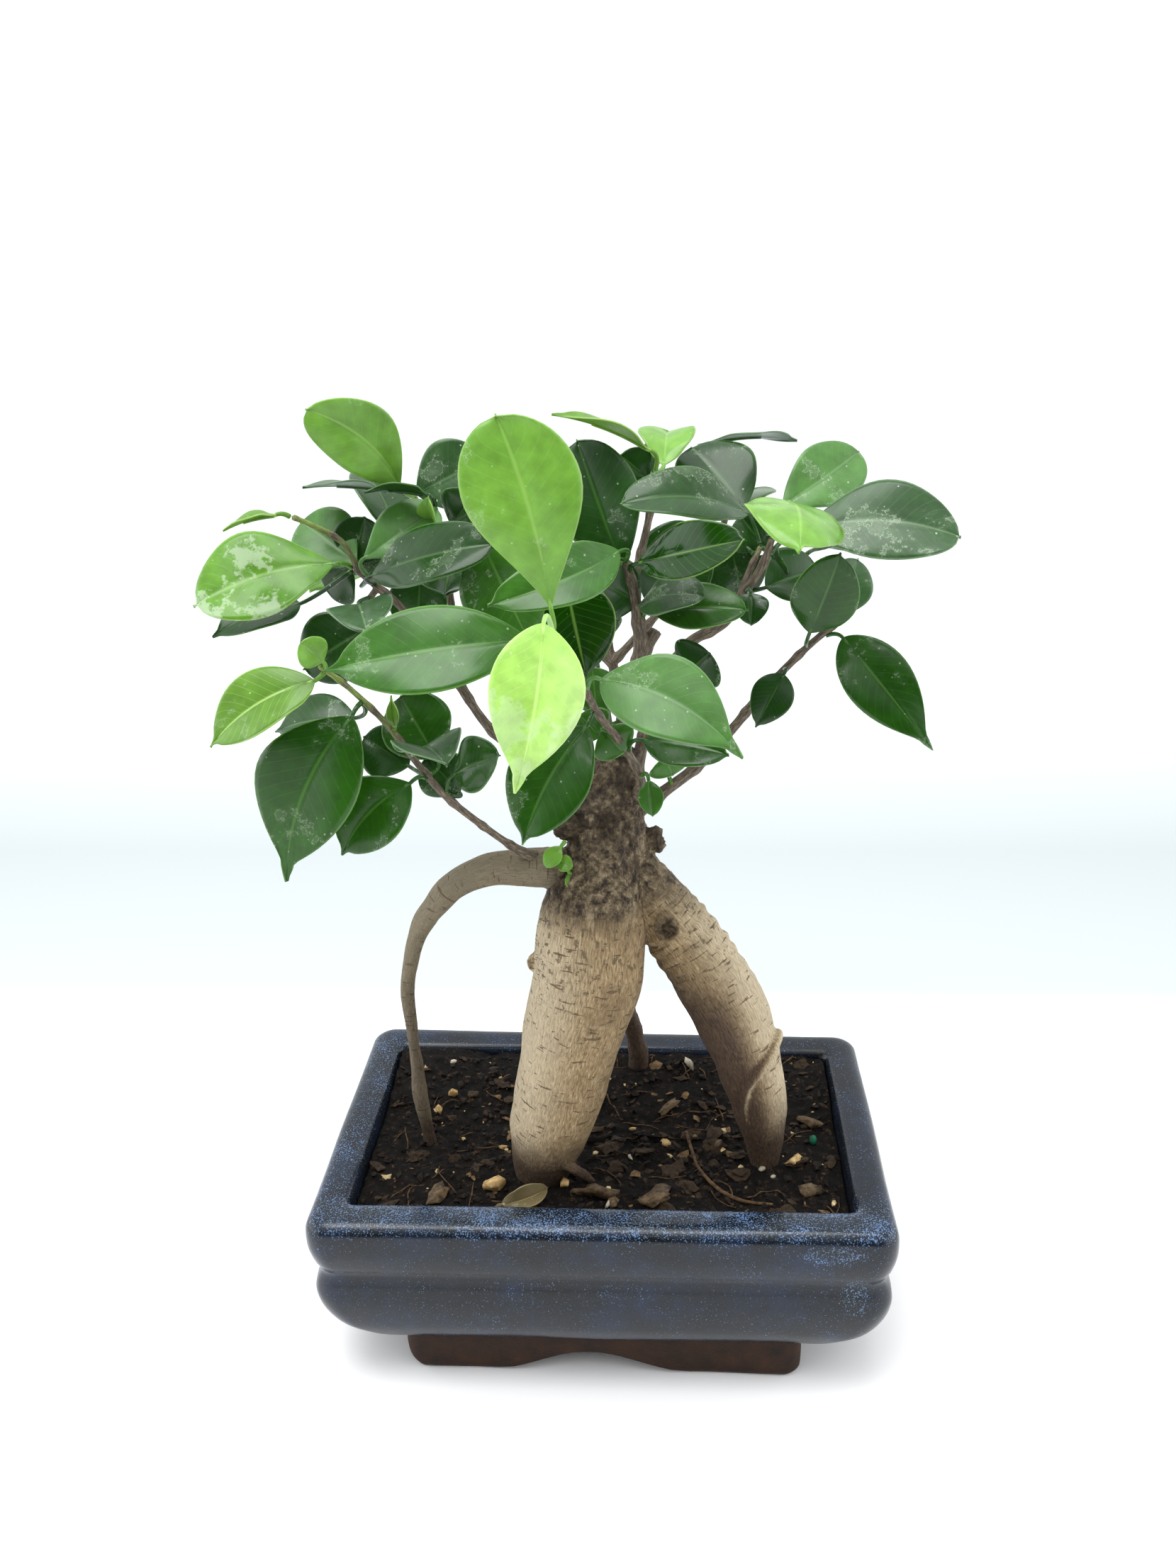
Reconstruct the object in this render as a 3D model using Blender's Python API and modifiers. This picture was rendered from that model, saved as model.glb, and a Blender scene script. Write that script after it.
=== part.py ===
"""A ginseng ficus grown as a bonsai in a glazed rectangular pot. Metres, +Z up.

The plant and its pot are drawn about the middle of the pot's foot, with +X to the right and
the front at -Y. At the end the whole thing is shifted so that the middle of its outline lies
over the origin, with the foot standing on z = 0.
"""
import math

import bmesh
import bpy
from mathutils import Vector

for old in list(bpy.data.objects):
    bpy.data.objects.remove(old, do_unlink=True)

# ---------------------------------------------------------------- driving dimensions
MM = 0.001                    # the tables below are written in millimetres
GAP = 0.3                     # air left between pieces that touch
POT_HALF_LENGTH = 78.5        # widest, at the lower bulge
POT_HALF_WIDTH = 48.5
POT_HEIGHT = 54.0
FOOT_HALF_LENGTH = 55.6
FOOT_HALF_WIDTH = 40.2
FOOT_BOTTOM = -1.6            # heights are measured from just above the pot's standing face
FOOT_TOP = 11.5
FOOT_RING = 8.0               # thickness of the ring that the pot stands on
FLOOR_TOP = 17.5              # inside floor of the pot
SOIL_TOP = 46.5
DRAIN_HOLE = 10.0             # diameter of the two drainage holes
LEAF_THICKNESS = 0.7
STALK_WIDTH = 1.2             # a leaf's own stalk
STALK_GAP = 0.95              # from a twig's mean radius to the foot of a stalk
TRUNK_VOXEL = 1.5             # size at which roots and trunk are melted into one body
TWIG_VOXEL = 0.55
TRUNK_FACES = 2500

parts = bpy.data.collections.new("bonsai_tree_in_a_pot")
cutters = bpy.data.collections.new("cutters")
bpy.context.scene.collection.children.link(parts)
bpy.context.scene.collection.children.link(cutters)
base_point = bpy.data.objects.new("plant_origin", None)
parts.objects.link(base_point)


# ---------------------------------------------------------------- helpers
def principled(name, colour, roughness, coat=0.0):
    """One plain material: colour is linear RGB."""
    material = bpy.data.materials.new(name)
    material.use_nodes = True
    shader = material.node_tree.nodes["Principled BSDF"]
    shader.inputs["Base Color"].default_value = (*colour, 1.0)
    shader.inputs["Roughness"].default_value = roughness
    shader.inputs["Metallic"].default_value = 0.0
    shader.inputs["Coat Weight"].default_value = coat
    return material


def add_part(name, mesh, material):
    """One named piece of the plant, placed under the common origin."""
    obj = bpy.data.objects.new(name, mesh)
    parts.objects.link(obj)
    obj.parent = base_point
    mesh.materials.clear()
    mesh.materials.append(material)
    return obj


def add_cutter(name, mesh):
    obj = bpy.data.objects.new(name, mesh)
    cutters.objects.link(obj)
    obj.parent = base_point
    obj.hide_render = True
    obj.display_type = "WIRE"
    return obj


def boolean(obj, cutter, operation="DIFFERENCE"):
    modifier = obj.modifiers.new(cutter.name, "BOOLEAN")
    modifier.operation = operation
    modifier.solver = "EXACT"
    modifier.object = cutter


def evaluated_mesh(obj):
    """The object's mesh with its modifiers or its bevel applied and its caps welded."""
    bpy.context.view_layer.update()
    graph = bpy.context.evaluated_depsgraph_get()
    mesh = bpy.data.meshes.new_from_object(obj.evaluated_get(graph), depsgraph=graph)
    shape = bmesh.new()
    shape.from_mesh(mesh)
    bmesh.ops.remove_doubles(shape, verts=shape.verts, dist=0.00001)
    shape.to_mesh(mesh)
    shape.free()
    return mesh


def rounded_rectangle(half_length, half_width, radius, steps=4):
    """Points of a rectangle with rounded corners, anticlockwise from +X."""
    points = []
    for corner, (sx, sy) in enumerate(((1, 1), (-1, 1), (-1, -1), (1, -1))):
        for step in range(steps + 1):
            angle = math.radians(90.0 * corner + 90.0 * step / steps)
            points.append((sx * (half_length - radius) + radius * math.cos(angle),
                           sy * (half_width - radius) + radius * math.sin(angle)))
    return points


def loft(name, rings):
    """A closed body through rounded rectangles: (z, half length, half width, corner radius)."""
    shape = bmesh.new()
    loops = []
    for z, half_length, half_width, radius in rings:
        outline = rounded_rectangle(half_length, half_width, radius)
        verts = [shape.verts.new((x * MM, y * MM, z * MM)) for x, y in outline]
        count = len(verts)
        loops.append([shape.edges.new((verts[i], verts[(i + 1) % count])) for i in range(count)])
    for lower, upper in zip(loops, loops[1:]):
        bmesh.ops.bridge_loops(shape, edges=lower + upper)
    bmesh.ops.holes_fill(shape, edges=loops[0] + loops[-1], sides=0)
    bmesh.ops.recalc_face_normals(shape, faces=shape.faces)
    mesh = bpy.data.meshes.new(name)
    shape.to_mesh(mesh)
    shape.free()
    return mesh


def smooth_line(knots, step=2.5):
    """Points along a smooth curve through knots (x, y, z, radius), about one each step mm."""
    knots = [Vector(knot) for knot in knots]
    ends = [2 * knots[0] - knots[1]] + knots + [2 * knots[-1] - knots[-2]]
    line = []
    for a, b, c, d in zip(ends, ends[1:], ends[2:], ends[3:]):
        pieces = max(1, round((c - b).xyz.length / step))
        for piece in range(pieces):
            t = piece / pieces
            line.append(0.5 * (2 * b + (c - a) * t + (2 * a - 5 * b + 4 * c - d) * t * t
                               + (3 * b - a - 3 * c + d) * t ** 3))
    return line + [knots[-1]]


def tube(line):
    """A round limb of changing thickness, as a mesh with closed ends."""
    curve = bpy.data.curves.new("limb", "CURVE")
    curve.dimensions = "3D"
    curve.bevel_depth = MM
    curve.bevel_resolution = 4
    curve.use_fill_caps = True
    spline = curve.splines.new("POLY")
    spline.points.add(len(line) - 1)
    for point, (x, y, z, radius) in zip(spline.points, line):
        point.co = (x * MM, y * MM, z * MM, 1.0)
        point.radius = radius
    holder = bpy.data.objects.new("limb", curve)
    parts.objects.link(holder)
    mesh = evaluated_mesh(holder)
    bpy.data.objects.remove(holder)
    return mesh


def melt(name, lines, lumps, voxel, faces):
    """Limbs and round lumps (x, y, z, radius) grown together into one closed body."""
    shape = bmesh.new()
    for line in lines:
        shape.from_mesh(tube(line))
    for x, y, z, radius in lumps:
        ball = bmesh.ops.create_icosphere(shape, subdivisions=3, radius=radius * MM)
        bmesh.ops.translate(shape, verts=ball["verts"], vec=(x * MM, y * MM, z * MM))
    mesh = bpy.data.meshes.new(name)
    shape.to_mesh(mesh)
    shape.free()
    holder = bpy.data.objects.new(name, mesh)
    parts.objects.link(holder)
    remesh = holder.modifiers.new("grown_together", "REMESH")
    remesh.mode = "VOXEL"
    remesh.voxel_size = voxel * MM
    smooth = holder.modifiers.new("smooth", "SMOOTH")
    smooth.factor = 0.5
    smooth.iterations = 4
    fine = evaluated_mesh(holder)
    triangles = sum(len(polygon.vertices) - 2 for polygon in fine.polygons)
    thin = holder.modifiers.new("fewer_faces", "DECIMATE")
    thin.ratio = min(1.0, faces / triangles)
    thin.use_collapse_triangulate = True
    mesh = evaluated_mesh(holder)
    bpy.data.objects.remove(holder)
    mesh.name = name
    mesh.shade_smooth()
    return mesh


# ---------------------------------------------------------------- the pot
# One ceramic body: an unglazed foot, an undercut belly, a groove, a rounded rim and the inside.
L, W = POT_HALF_LENGTH, POT_HALF_WIDTH
pot_rings = [
    (FOOT_BOTTOM, FOOT_HALF_LENGTH - 1.0, FOOT_HALF_WIDTH - 1.0, 4.0),
    (FOOT_BOTTOM + 1.2, FOOT_HALF_LENGTH, FOOT_HALF_WIDTH, 5.0),
    (FOOT_TOP, FOOT_HALF_LENGTH, FOOT_HALF_WIDTH, 5.0),
    (12.3, L - 14.5, W - 6.6, 8.0),
    (14.2, L - 9.8, W - 4.6, 9.0),
    (18.5, L - 4.3, W - 2.2, 9.0),
    (24.0, L - 1.2, W - 0.8, 9.0),
    (29.5, L, W, 9.0),
    (33.5, L - 0.3, W - 0.3, 9.0),
    (36.3, L - 1.5, W - 1.5, 8.0),
    (38.8, L - 0.2, W - 0.2, 9.0),
    (44.0, L + 0.6, W + 0.6, 9.5),
    (49.0, L + 0.4, W + 0.4, 9.5),
    (52.4, L - 0.9, W - 0.9, 9.0),
    (POT_HEIGHT - 0.2, L - 3.2, W - 3.2, 8.0),
    (POT_HEIGHT, L - 6.4, W - 6.4, 7.0),
    (53.0, L - 9.2, W - 9.0, 6.0),
    (50.0, L - 10.2, W - 9.7, 5.5),
    (30.0, L - 11.0, W - 10.3, 6.0),
    (23.0, L - 14.0, W - 12.4, 8.0),
    (19.0, L - 19.0, W - 16.0, 10.0),
    (FLOOR_TOP, L - 26.0, W - 21.0, 12.0),
]
glaze = principled("glazed_stoneware", (0.012, 0.022, 0.055), 0.22, 0.6)
pot = add_part("pot", loft("pot", pot_rings), glaze)

recess = loft("foot_recess", [
    (-4.0, FOOT_HALF_LENGTH - FOOT_RING, FOOT_HALF_WIDTH - FOOT_RING, 6.0),
    (FOOT_TOP - 1.5, FOOT_HALF_LENGTH - FOOT_RING - 1, FOOT_HALF_WIDTH - FOOT_RING - 1, 6.0),
])
boolean(pot, add_cutter("foot_recess", recess))


def arch(name, middle, half_span, height, across_x):
    """A low arch cut through the foot: an outline along the foot, extruded through the pot."""
    curve = bpy.data.curves.new(name, "CURVE")
    curve.dimensions = "2D"
    curve.fill_mode = "BOTH"
    curve.extrude = 60 * MM
    spline = curve.splines.new("POLY")
    count = 13
    spline.points.add(count + 1)
    for i in range(count):
        along = -1.0 + 2.0 * i / (count - 1)
        rise = height * (0.5 + 0.5 * math.cos(math.pi * along)) ** 0.8
        spline.points[i].co = ((middle + half_span * along) * MM, (FOOT_BOTTOM + rise) * MM, 0.0, 1.0)
    spline.points[count].co = ((middle + half_span) * MM, -6 * MM, 0.0, 1.0)
    spline.points[count + 1].co = ((middle - half_span) * MM, -6 * MM, 0.0, 1.0)
    spline.use_cyclic_u = True
    holder = bpy.data.objects.new(name, curve)
    parts.objects.link(holder)
    mesh = evaluated_mesh(holder)
    bpy.data.objects.remove(holder)
    cutter = add_cutter(name, mesh)
    cutter.rotation_euler = (math.radians(90), 0, math.radians(90 if across_x else 0))
    return cutter


boolean(pot, arch("foot_arch_long", -2.0, 25.0, 7.6, False))
boolean(pot, arch("foot_arch_short", 0.0, 17.0, 5.5, True))

for side, x in (("left", -28.0), ("right", 28.0)):
    shape = bmesh.new()
    bmesh.ops.create_cone(shape, cap_ends=True, segments=20, radius1=DRAIN_HOLE / 2 * MM,
                          radius2=DRAIN_HOLE / 2 * MM, depth=20 * MM)
    bmesh.ops.translate(shape, verts=shape.verts, vec=(x * MM, 0.0, 14 * MM))
    hole = bpy.data.meshes.new("drain_hole_" + side)
    shape.to_mesh(hole)
    shape.free()
    boolean(pot, add_cutter("drain_hole_" + side, hole))

# ---------------------------------------------------------------- roots and trunk
# Grown as one piece: a swollen main root, a leg, a thin aerial root in an arch, a root
# behind, a rootlet in front, and the short barky neck with its cut top and two knobs.
main_root = [
    (2, -3, 150, 8.4), (1, -5, 140, 10.5), (-1, -8, 131, 12.8), (-2, -12, 122, 14.3),
    (-3, -14, 111, 14.8), (-6, -16, 99, 13.9), (-9, -17, 87, 13.0), (-12, -17, 74, 12.4),
    (-15, -16, 62, 11.0), (-17, -15, 52, 8.8), (-18, -15, 44, 6.5), (-18, -15, 33, 3.5),
]
right_leg = [
    (5, -2, 138, 8.0), (13, -3, 130, 8.6), (21, -5, 119, 9.3), (28, -7, 108, 9.2),
    (34, -9, 97, 9.2), (38.5, -10, 86, 9.0), (42.5, -10, 74, 8.4), (45, -9, 62, 7.2),
    (46, -9, 52, 4.9), (46, -9, 44, 3.4), (46, -9, 33, 2.0),
]
aerial_root = [
    (-2, -6, 138, 6.0), (-14, -9, 140, 5.4), (-24, -11, 141, 4.7), (-31, -12, 140, 4.2),
    (-38, -11, 136, 3.8), (-44, -10, 129, 3.3), (-49, -8, 121, 2.7), (-52, -7, 112, 2.3),
    (-54, -6, 101, 2.1), (-54, -5, 89, 1.9), (-54, -3, 77, 1.9), (-54, -2, 67, 2.2),
    (-53, -2, 56, 2.0), (-52, -2, 46, 2.0), (-51, -2, 33, 1.6),
]
back_root = [
    (-1, 0, 112, 7.0), (2, 9, 99, 4.6), (4, 18, 86, 3.2), (7, 26, 72, 2.8), (9, 32, 58, 3.0),
    (9, 35, 47, 3.2), (9, 36, 34, 2.2),
]
front_rootlet = [
    (-15, -20, 60, 4.0), (-10, -23, 56, 1.9), (-7, -22, 53, 1.5), (-4, -19, 48, 1.4),
    (-2, -17, 42, 1.2),
]
neck = [
    (3, -2, 134, 9.8), (4, -2, 141, 9.6), (3, -1, 148, 9.8), (3, 0, 155, 9.2),
    (4, 0, 161, 8.2), (5, 0, 166, 6.9), (5, 0, 169, 6.2),
]
knobs = [(-7, -5, 150, 3.6), (-5, -3, 148, 4.6), (13, 0, 146, 3.8), (16, 0, 144, 2.9),
         (10, -2, 139, 4.0), (0, -9, 141, 4.5), (23, -8, 113, 5.2), (4, -8, 152, 3.0)]

bark = principled("trunk_bark", (0.42, 0.30, 0.19), 0.8)
trunk_lines = [smooth_line(knots, 4.0) for knots in
               (main_root, right_leg, aerial_root, back_root, front_rootlet, neck)]
trunk_mesh = melt("trunk_and_roots", trunk_lines, knobs, TRUNK_VOXEL, TRUNK_FACES)
trunk = add_part("trunk_and_roots", trunk_mesh, bark)
trunk_space = add_cutter("trunk_space", trunk_mesh.copy())
swell = trunk_space.modifiers.new("clearance", "DISPLACE")
swell.strength = (GAP + 0.25) * MM
swell.mid_level = 0.0

# ---------------------------------------------------------------- the soil
soil_rings = [
    (FLOOR_TOP + GAP, L - 27.0, W - 22.0, 12.0),
    (19.0 + GAP, L - 19.8, W - 16.8, 10.0),
    (23.0 + GAP, L - 14.6, W - 13.0, 8.0),
    (30.0 + GAP, L - 11.5, W - 10.8, 6.0),
    (SOIL_TOP - 1.2, L - 11.1, W - 10.5, 5.6),
    (SOIL_TOP, L - 13.0, W - 12.4, 6.0),
    (SOIL_TOP + 0.7, L - 30.0, W - 22.0, 10.0),
    (SOIL_TOP + 1.2, 20.0, 8.0, 6.0),
]
earth = principled("potting_soil", (0.035, 0.022, 0.014), 0.95)
soil = add_part("soil", loft("soil", soil_rings), earth)
boolean(soil, trunk_space)

# ---------------------------------------------------------------- branches
# Each branch is a main stem and its forks, as knots (x, y, z, radius), grown together. The
# inner end is cut by the trunk's own shape, so that it sits on the bark.
BRANCHES = {
    "branch_left_upper": (620, [
        [(-3, -3, 160, 2.4), (-12, -10, 170, 1.8), (-22, -16, 178, 1.5), (-29, -18, 188, 1.3),
         (-33, -16, 198, 1.2), (-34, -10, 210, 1.1), (-37, -2, 221, 1.1), (-42, 6, 231, 1.0),
         (-45, 8, 235, 0.8)],
        [(-30, -18, 190, 1.2), (-38, -17, 201, 1.1), (-45, -14, 211, 1.1), (-52, -12, 217, 1.1),
         (-57, -11, 221, 1.0)],
        [(-52, -12, 216, 1.0), (-55, -11, 212, 1.0), (-56, -10, 207, 1.0)],
        [(-56, -11, 220, 0.9), (-58, -16, 228, 0.9), (-63, -21, 233, 0.8), (-67, -25, 236, 0.7)],
    ]),
    "branch_front": (330, [
        [(10, -3, 158, 2.2), (12, -12, 166, 1.4), (8, -20, 178, 1.2), (3, -28, 188, 1.1),
         (0, -38, 198, 1.1), (-3, -49, 208, 1.0), (-5, -57, 216, 0.9)],
    ]),
    "branch_centre": (560, [
        [(4, 1, 164, 2.6), (3, 2, 172, 2.3), (2, 3, 180, 2.1), (1, 3, 187, 1.8)],
        [(6, -1, 165, 2.6), (7, -4, 178, 2.2), (10, -7, 190, 2.1), (12, -9, 200, 2.0),
         (11, -10, 212, 1.7), (9, -13, 222, 1.3)],
        [(10, -8, 192, 2.0), (13, -8, 199, 2.0), (16, -8, 204, 1.9)],
        [(10, -10, 214, 1.4), (14, -3, 229, 1.1), (16, 3, 240, 0.9)],
    ]),
    "branch_right_upper": (480, [
        [(10, 2, 162, 2.4), (13, 4, 174, 1.9), (18, 3, 187, 1.8), (24, 1, 198, 1.7),
         (33, -1, 204, 1.5), (38, -2, 212, 1.4), (42, -4, 219, 1.2), (44, -6, 226, 1.0)],
        [(36, -2, 209, 1.1), (39, 2, 216, 1.0), (42, 4, 222, 0.9)],
    ]),
    "branch_right_lower": (300, [
        [(10, 0, 152, 2.6), (18, 1, 158, 1.9), (27, 2, 165, 1.7), (36, 3, 175, 1.5),
         (42, 3, 183, 1.3), (50, 3, 192, 1.2), (56, 3, 198, 1.1), (63, 3, 204, 1.1)],
    ]),
    "branch_left_lower": (420, [
        [(-16, -10, 143, 2.2), (-22, -18, 151, 1.2), (-29, -26, 161, 1.1), (-35, -32, 170, 1.1),
         (-40, -37, 180, 1.0), (-46, -40, 191, 0.9), (-53, -44, 201, 0.8), (-58, -48, 207, 0.7)],
    ]),
    "branch_back": (700, [
        [(6, 4, 158, 2.4), (7, 14, 168, 1.8), (5, 22, 180, 1.7), (2, 27, 192, 1.5),
         (-3, 31, 204, 1.3), (-6, 33, 216, 1.1)],
        [(4, 24, 186, 1.4), (-10, 29, 196, 1.2), (-24, 28, 205, 1.1), (-38, 25, 211, 1.0),
         (-50, 21, 217, 0.9)],
        [(4, 24, 187, 1.4), (14, 28, 197, 1.3), (23, 29, 207, 1.2), (31, 27, 218, 1.0),
         (34, 26, 226, 0.9), (32, 27, 236, 0.8)],
        [(20, 29, 204, 1.1), (34, 26, 209, 1.1), (46, 21, 213, 1.0), (54, 17, 217, 0.9)],
    ]),
}
stem = principled("young_stem", (0.22, 0.16, 0.10), 0.75)
twigs = {}
for name, (faces, limbs) in BRANCHES.items():
    twigs[name] = [smooth_line(knots) for knots in limbs]
    branch = add_part(name, melt(name, twigs[name], [], TWIG_VOXEL, faces), stem)
    boolean(branch, trunk_space)

# ---------------------------------------------------------------- leaves
# One row a leaf, in mm: where its stalk meets the twig, the blade's base, its tip, its width,
# the way its upper face looks, how far it arches and sways sideways, both as parts of its
# length, its fold along the midrib in degrees,
# where it is widest from base 0 to tip 1, and how drawn-out its tip is.
YOUNG, LIME, FRESH, DEEP, DUSTY = "young", "lime", "fresh", "deep", "dusty"
LEAVES = {
    "branch_left_upper": [
        ("top_left_bright", (-45, 6, 235), (-46, -4, 239), (-64, -16, 259), 17,
         (-.1, -.93, .35), .06, .12, 12, .55, .1, YOUNG),
        ("top_left_edge", (-45, 7, 234), (-50, 5, 237), (-71, 0, 239), 16,
         (-.05, .13, .99), .04, 0, 12, .5, .3, DUSTY),
        ("left_twig_tip", (-67, -25, 236), (-70, -27, 237), (-82, -30, 234), 9,
         (-.2, 0, .98), .05, 0, 20, .5, .8, LIME),
        ("left_big_bright", (-57, -12, 221), (-61, -15, 223), (-92, -28, 216), 24,
         (-.18, -.78, .6), .06, .04, 12, .55, .2, YOUNG),
        ("left_grey_back", (-56, -9, 219), (-59, -1, 220), (-75, 9, 229), 18,
         (0, -.8, .6), .06, 0, 10, .55, .2, DUSTY),
        ("left_dusty_up", (-54, -12, 219), (-54, -14, 224), (-37, -4, 234), 15,
         (-.15, -.85, .5), .10, .06, 14, .58, .1, DUSTY),
        ("left_dark_wide", (-51, -12, 217), (-51, -20, 221), (-20, -30, 230), 17,
         (0, -.72, .7), .06, 0, 12, .5, .1, DEEP),
        ("back_dark_up_left", (-43, 7, 232), (-45, 12, 235), (-27, 16, 243), 19,
         (-.1, -.97, .2), .06, 0, 10, .52, .2, DEEP),
        ("left_dusty_front", (-54, -12, 214), (-55, -19, 214), (-48, -42, 213), 16,
         (0, -.4, .92), .08, 0, 14, .45, .2, DUSTY),
        ("left_dark_low", (-53, -11, 209), (-54, -14, 207), (-71, -16, 197), 19,
         (-.1, -.9, .42), .06, 0, 12, .5, .25, DEEP),
    ],
    "branch_front": [
        ("centre_big_bright", (-5, -57, 216), (-5, -60, 222), (-15, -57, 261), 25,
         (-.05, -.98, .22), .05, .04, 14, .66, .45, YOUNG),
        ("front_variegated", (-5, -57, 216), (-6, -67, 221), (-12, -79, 189), 20,
         (0, -.93, .37), .06, -.04, 12, .45, .8, LIME),
        ("front_left_long", (-4, -53, 213), (-11, -50, 213), (-55, -55, 208), 21,
         (0, -.78, .62), .05, 0, 10, .5, .5, FRESH),
        ("front_right_pointed", (0, -38, 198), (4, -43, 202), (35, -56, 188), 20,
         (.1, -.82, .57), .06, -.08, 10, .45, .8, FRESH),
        ("front_low_left", (2, -31, 191), (0, -34, 188), (-15, -46, 163), 20,
         (-.15, -.94, .3), .05, .05, 12, .5, .5, FRESH),
        ("low_right_under", (9, -19, 176), (13, -27, 182), (33, -35, 181), 14,
         (0, -.65, .76), .06, 0, 12, .5, .3, FRESH),
    ],
    "branch_centre": [
        ("centre_glossy", (9, -13, 221), (8, -30, 228), (-20, -47, 220), 15,
         (.1, -.75, .65), .08, -.08, 16, .45, .3, YOUNG),
        ("centre_dark_up", (10, -11, 216), (8, -7, 219), (-3, 2, 249), 22,
         (-.12, -.97, .2), .05, 0, 12, .55, .15, DEEP),
        ("centre_drop", (9, -13, 221), (-5, -24, 222), (0, -31, 199), 20,
         (0, -.97, .2), .05, 0, 12, .5, .4, FRESH),
        ("top_lime", (16, 3, 240), (15, 2, 246), (-8, -8, 256), 12,
         (-.1, -.1, .98), .05, 0, 24, .5, .7, LIME),
        ("top_folded", (16, 3, 240), (18, 6, 242), (19, 24, 248), 16,
         (0, -.8, .6), .10, 0, 26, .55, .2, YOUNG),
        ("centre_right_glossy", (10, -13, 220), (12, -19, 223), (36, -34, 231), 14,
         (.1, -.65, .75), .06, .02, 16, .5, .15, YOUNG),
        ("centre_right_back", (12, -9, 202), (14, 2, 208), (26, 10, 227), 21,
         (.25, -.95, .2), .05, 0, 12, .5, .2, DEEP),
        ("mid_flat_right", (11, -10, 207), (15, -12, 210), (38, -17, 211), 13,
         (0, -.72, .7), .06, 0, 12, .5, .2, FRESH),
    ],
    "branch_right_upper": [
        ("top_dark_round", (42, 4, 221), (38, 8, 231), (25, 24, 244), 21,
         (.05, -.82, .57), .06, 0, 10, .5, .1, DEEP),
        ("top_arched", (43, -6, 225), (38, -7, 232), (8, -21, 237), 17,
         (0, -.62, .78), .12, 0, 16, .5, .15, DEEP),
        ("right_hanging_dark", (41, 3, 221), (35, 12, 221), (38, 11, 207), 15,
         (0, -.97, .1), .06, 0, 12, .5, .2, DEEP),
        ("right_light_folded", (44, -6, 226), (47, -16, 236), (47, -43, 230), 24,
         (.25, -.6, .75), .12, 0, -12, .42, .35, YOUNG),
        ("right_up_green", (44, -5, 225), (47, 4, 232), (67, 18, 243), 17,
         (.1, -.84, .55), .06, .03, 10, .55, .1, FRESH),
        ("right_far", (43, -4, 221), (52, -7, 228), (87, -14, 227), 21,
         (.08, -.78, .62), .06, -.06, 10, .5, .1, DUSTY),
        ("right_dark_mid", (38, -2, 212), (43, -2, 213), (57, 8, 215), 17,
         (0, -.82, .57), .06, 0, 12, .5, .2, DEEP),
    ],
    "branch_right_lower": [
        ("right_hanging_round", (54, 3, 196), (54, -4, 202), (60, -10, 223), 17,
         (0, -.99, .1), .05, 0, 14, .5, .25, DEEP),
        ("right_crinkled", (59, 3, 200), (62, 10, 203), (68, 17, 216), 13,
         (.2, -.96, .2), .06, 0, 12, .5, .2, DUSTY),
        ("right_low_drop", (59, 3, 199), (63, 2, 199), (85, -10, 173), 17,
         (-.1, -.92, .38), .06, 0, 12, .42, .8, DEEP),
    ],
    "branch_left_lower": [
        ("left_low_light", (-57, -47, 206), (-59, -49, 204), (-83, -53, 190), 17,
         (-.2, -.72, .67), .08, .05, 14, .48, .5, YOUNG),
        ("left_low_big", (-50, -42, 196), (-52, -47, 195), (-70, -51, 156), 25,
         (-.1, -.95, .3), .04, .08, 10, .48, .8, DEEP),
        ("left_low_mid", (-38, -35, 176), (-41, -42, 177), (-58, -45, 160), 18,
         (-.1, -.93, .35), .05, .08, 12, .5, .5, DEEP),
        ("left_low_round", (-38, -35, 176), (-37, -28, 178), (-46, -22, 192), 18,
         (0, -.93, .37), .05, 0, 10, .5, .1, DEEP),
        ("left_low_folded", (-41, -37, 182), (-38, -43, 186), (-29, -60, 188), 18,
         (.1, -.35, .93), .08, 0, 28, .4, .3, DUSTY),
    ],
    "branch_back": [
        ("top_right_edge", (32, 27, 236), (28, 29, 244), (53, 34, 244), 19,
         (0, .2, .98), .06, 0, 8, .45, .5, DUSTY),
        ("behind_big", (-5, 32, 214), (-9, 38, 217), (-24, 48, 243), 23,
         (-.1, .95, .3), .06, 0, 10, .5, .3, DEEP),
        ("behind_left_long", (-16, 29, 200), (-24, 32, 196), (-54, 44, 186), 20,
         (-.1, .75, .65), .08, 0, 12, .5, .4, FRESH),
        ("behind_front_right", (5, 22, 180), (12, 24, 178), (35, 36, 165), 19,
         (.2, .8, .55), .08, 0, 12, .45, .6, DEEP),
        ("behind_arched", (23, 29, 207), (25, 36, 209), (33, 64, 211), 20,
         (.1, .3, .95), .12, 0, 12, .5, .3, FRESH),
        ("behind_far_right", (53, 17, 217), (58, 20, 218), (82, 34, 215), 20,
         (.2, .6, .8), .08, 0, 10, .5, .2, DEEP),
        ("behind_left_big", (-49, 21, 216), (-55, 23, 216), (-82, 36, 205), 21,
         (-.2, .6, .75), .08, 0, 12, .5, .35, YOUNG),
        ("behind_mid", (-24, 28, 205), (-26, 35, 208), (-36, 62, 208), 19,
         (-.1, .3, .95), .12, 0, 12, .5, .4, FRESH),
        ("behind_top_left", (-50, 21, 217), (-54, 25, 223), (-66, 44, 237), 18,
         (-.3, .6, .75), .08, 0, 12, .5, .2, DEEP),
        ("behind_round", (34, 26, 226), (37, 31, 226), (41, 53, 228), 20,
         (.1, .8, .6), .06, 0, 12, .5, .2, FRESH),
        ("behind_top", (-6, 33, 216), (-3, 38, 220), (10, 58, 234), 20,
         (.1, .6, .8), .08, 0, 12, .5, .3, YOUNG),
    ],
}
LEAF_COLOURS = {
    YOUNG: (0.10, 0.34, 0.03), LIME: (0.32, 0.55, 0.06), FRESH: (0.045, 0.19, 0.03),
    DEEP: (0.012, 0.075, 0.022), DUSTY: (0.035, 0.12, 0.05),
}
STALK_ROWS = 2                                  # rows of faces along the stalk
BLADE_STEPS = (0.0, 0.14, 0.32, 0.52, 0.72, 0.88, 1.0)


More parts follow.
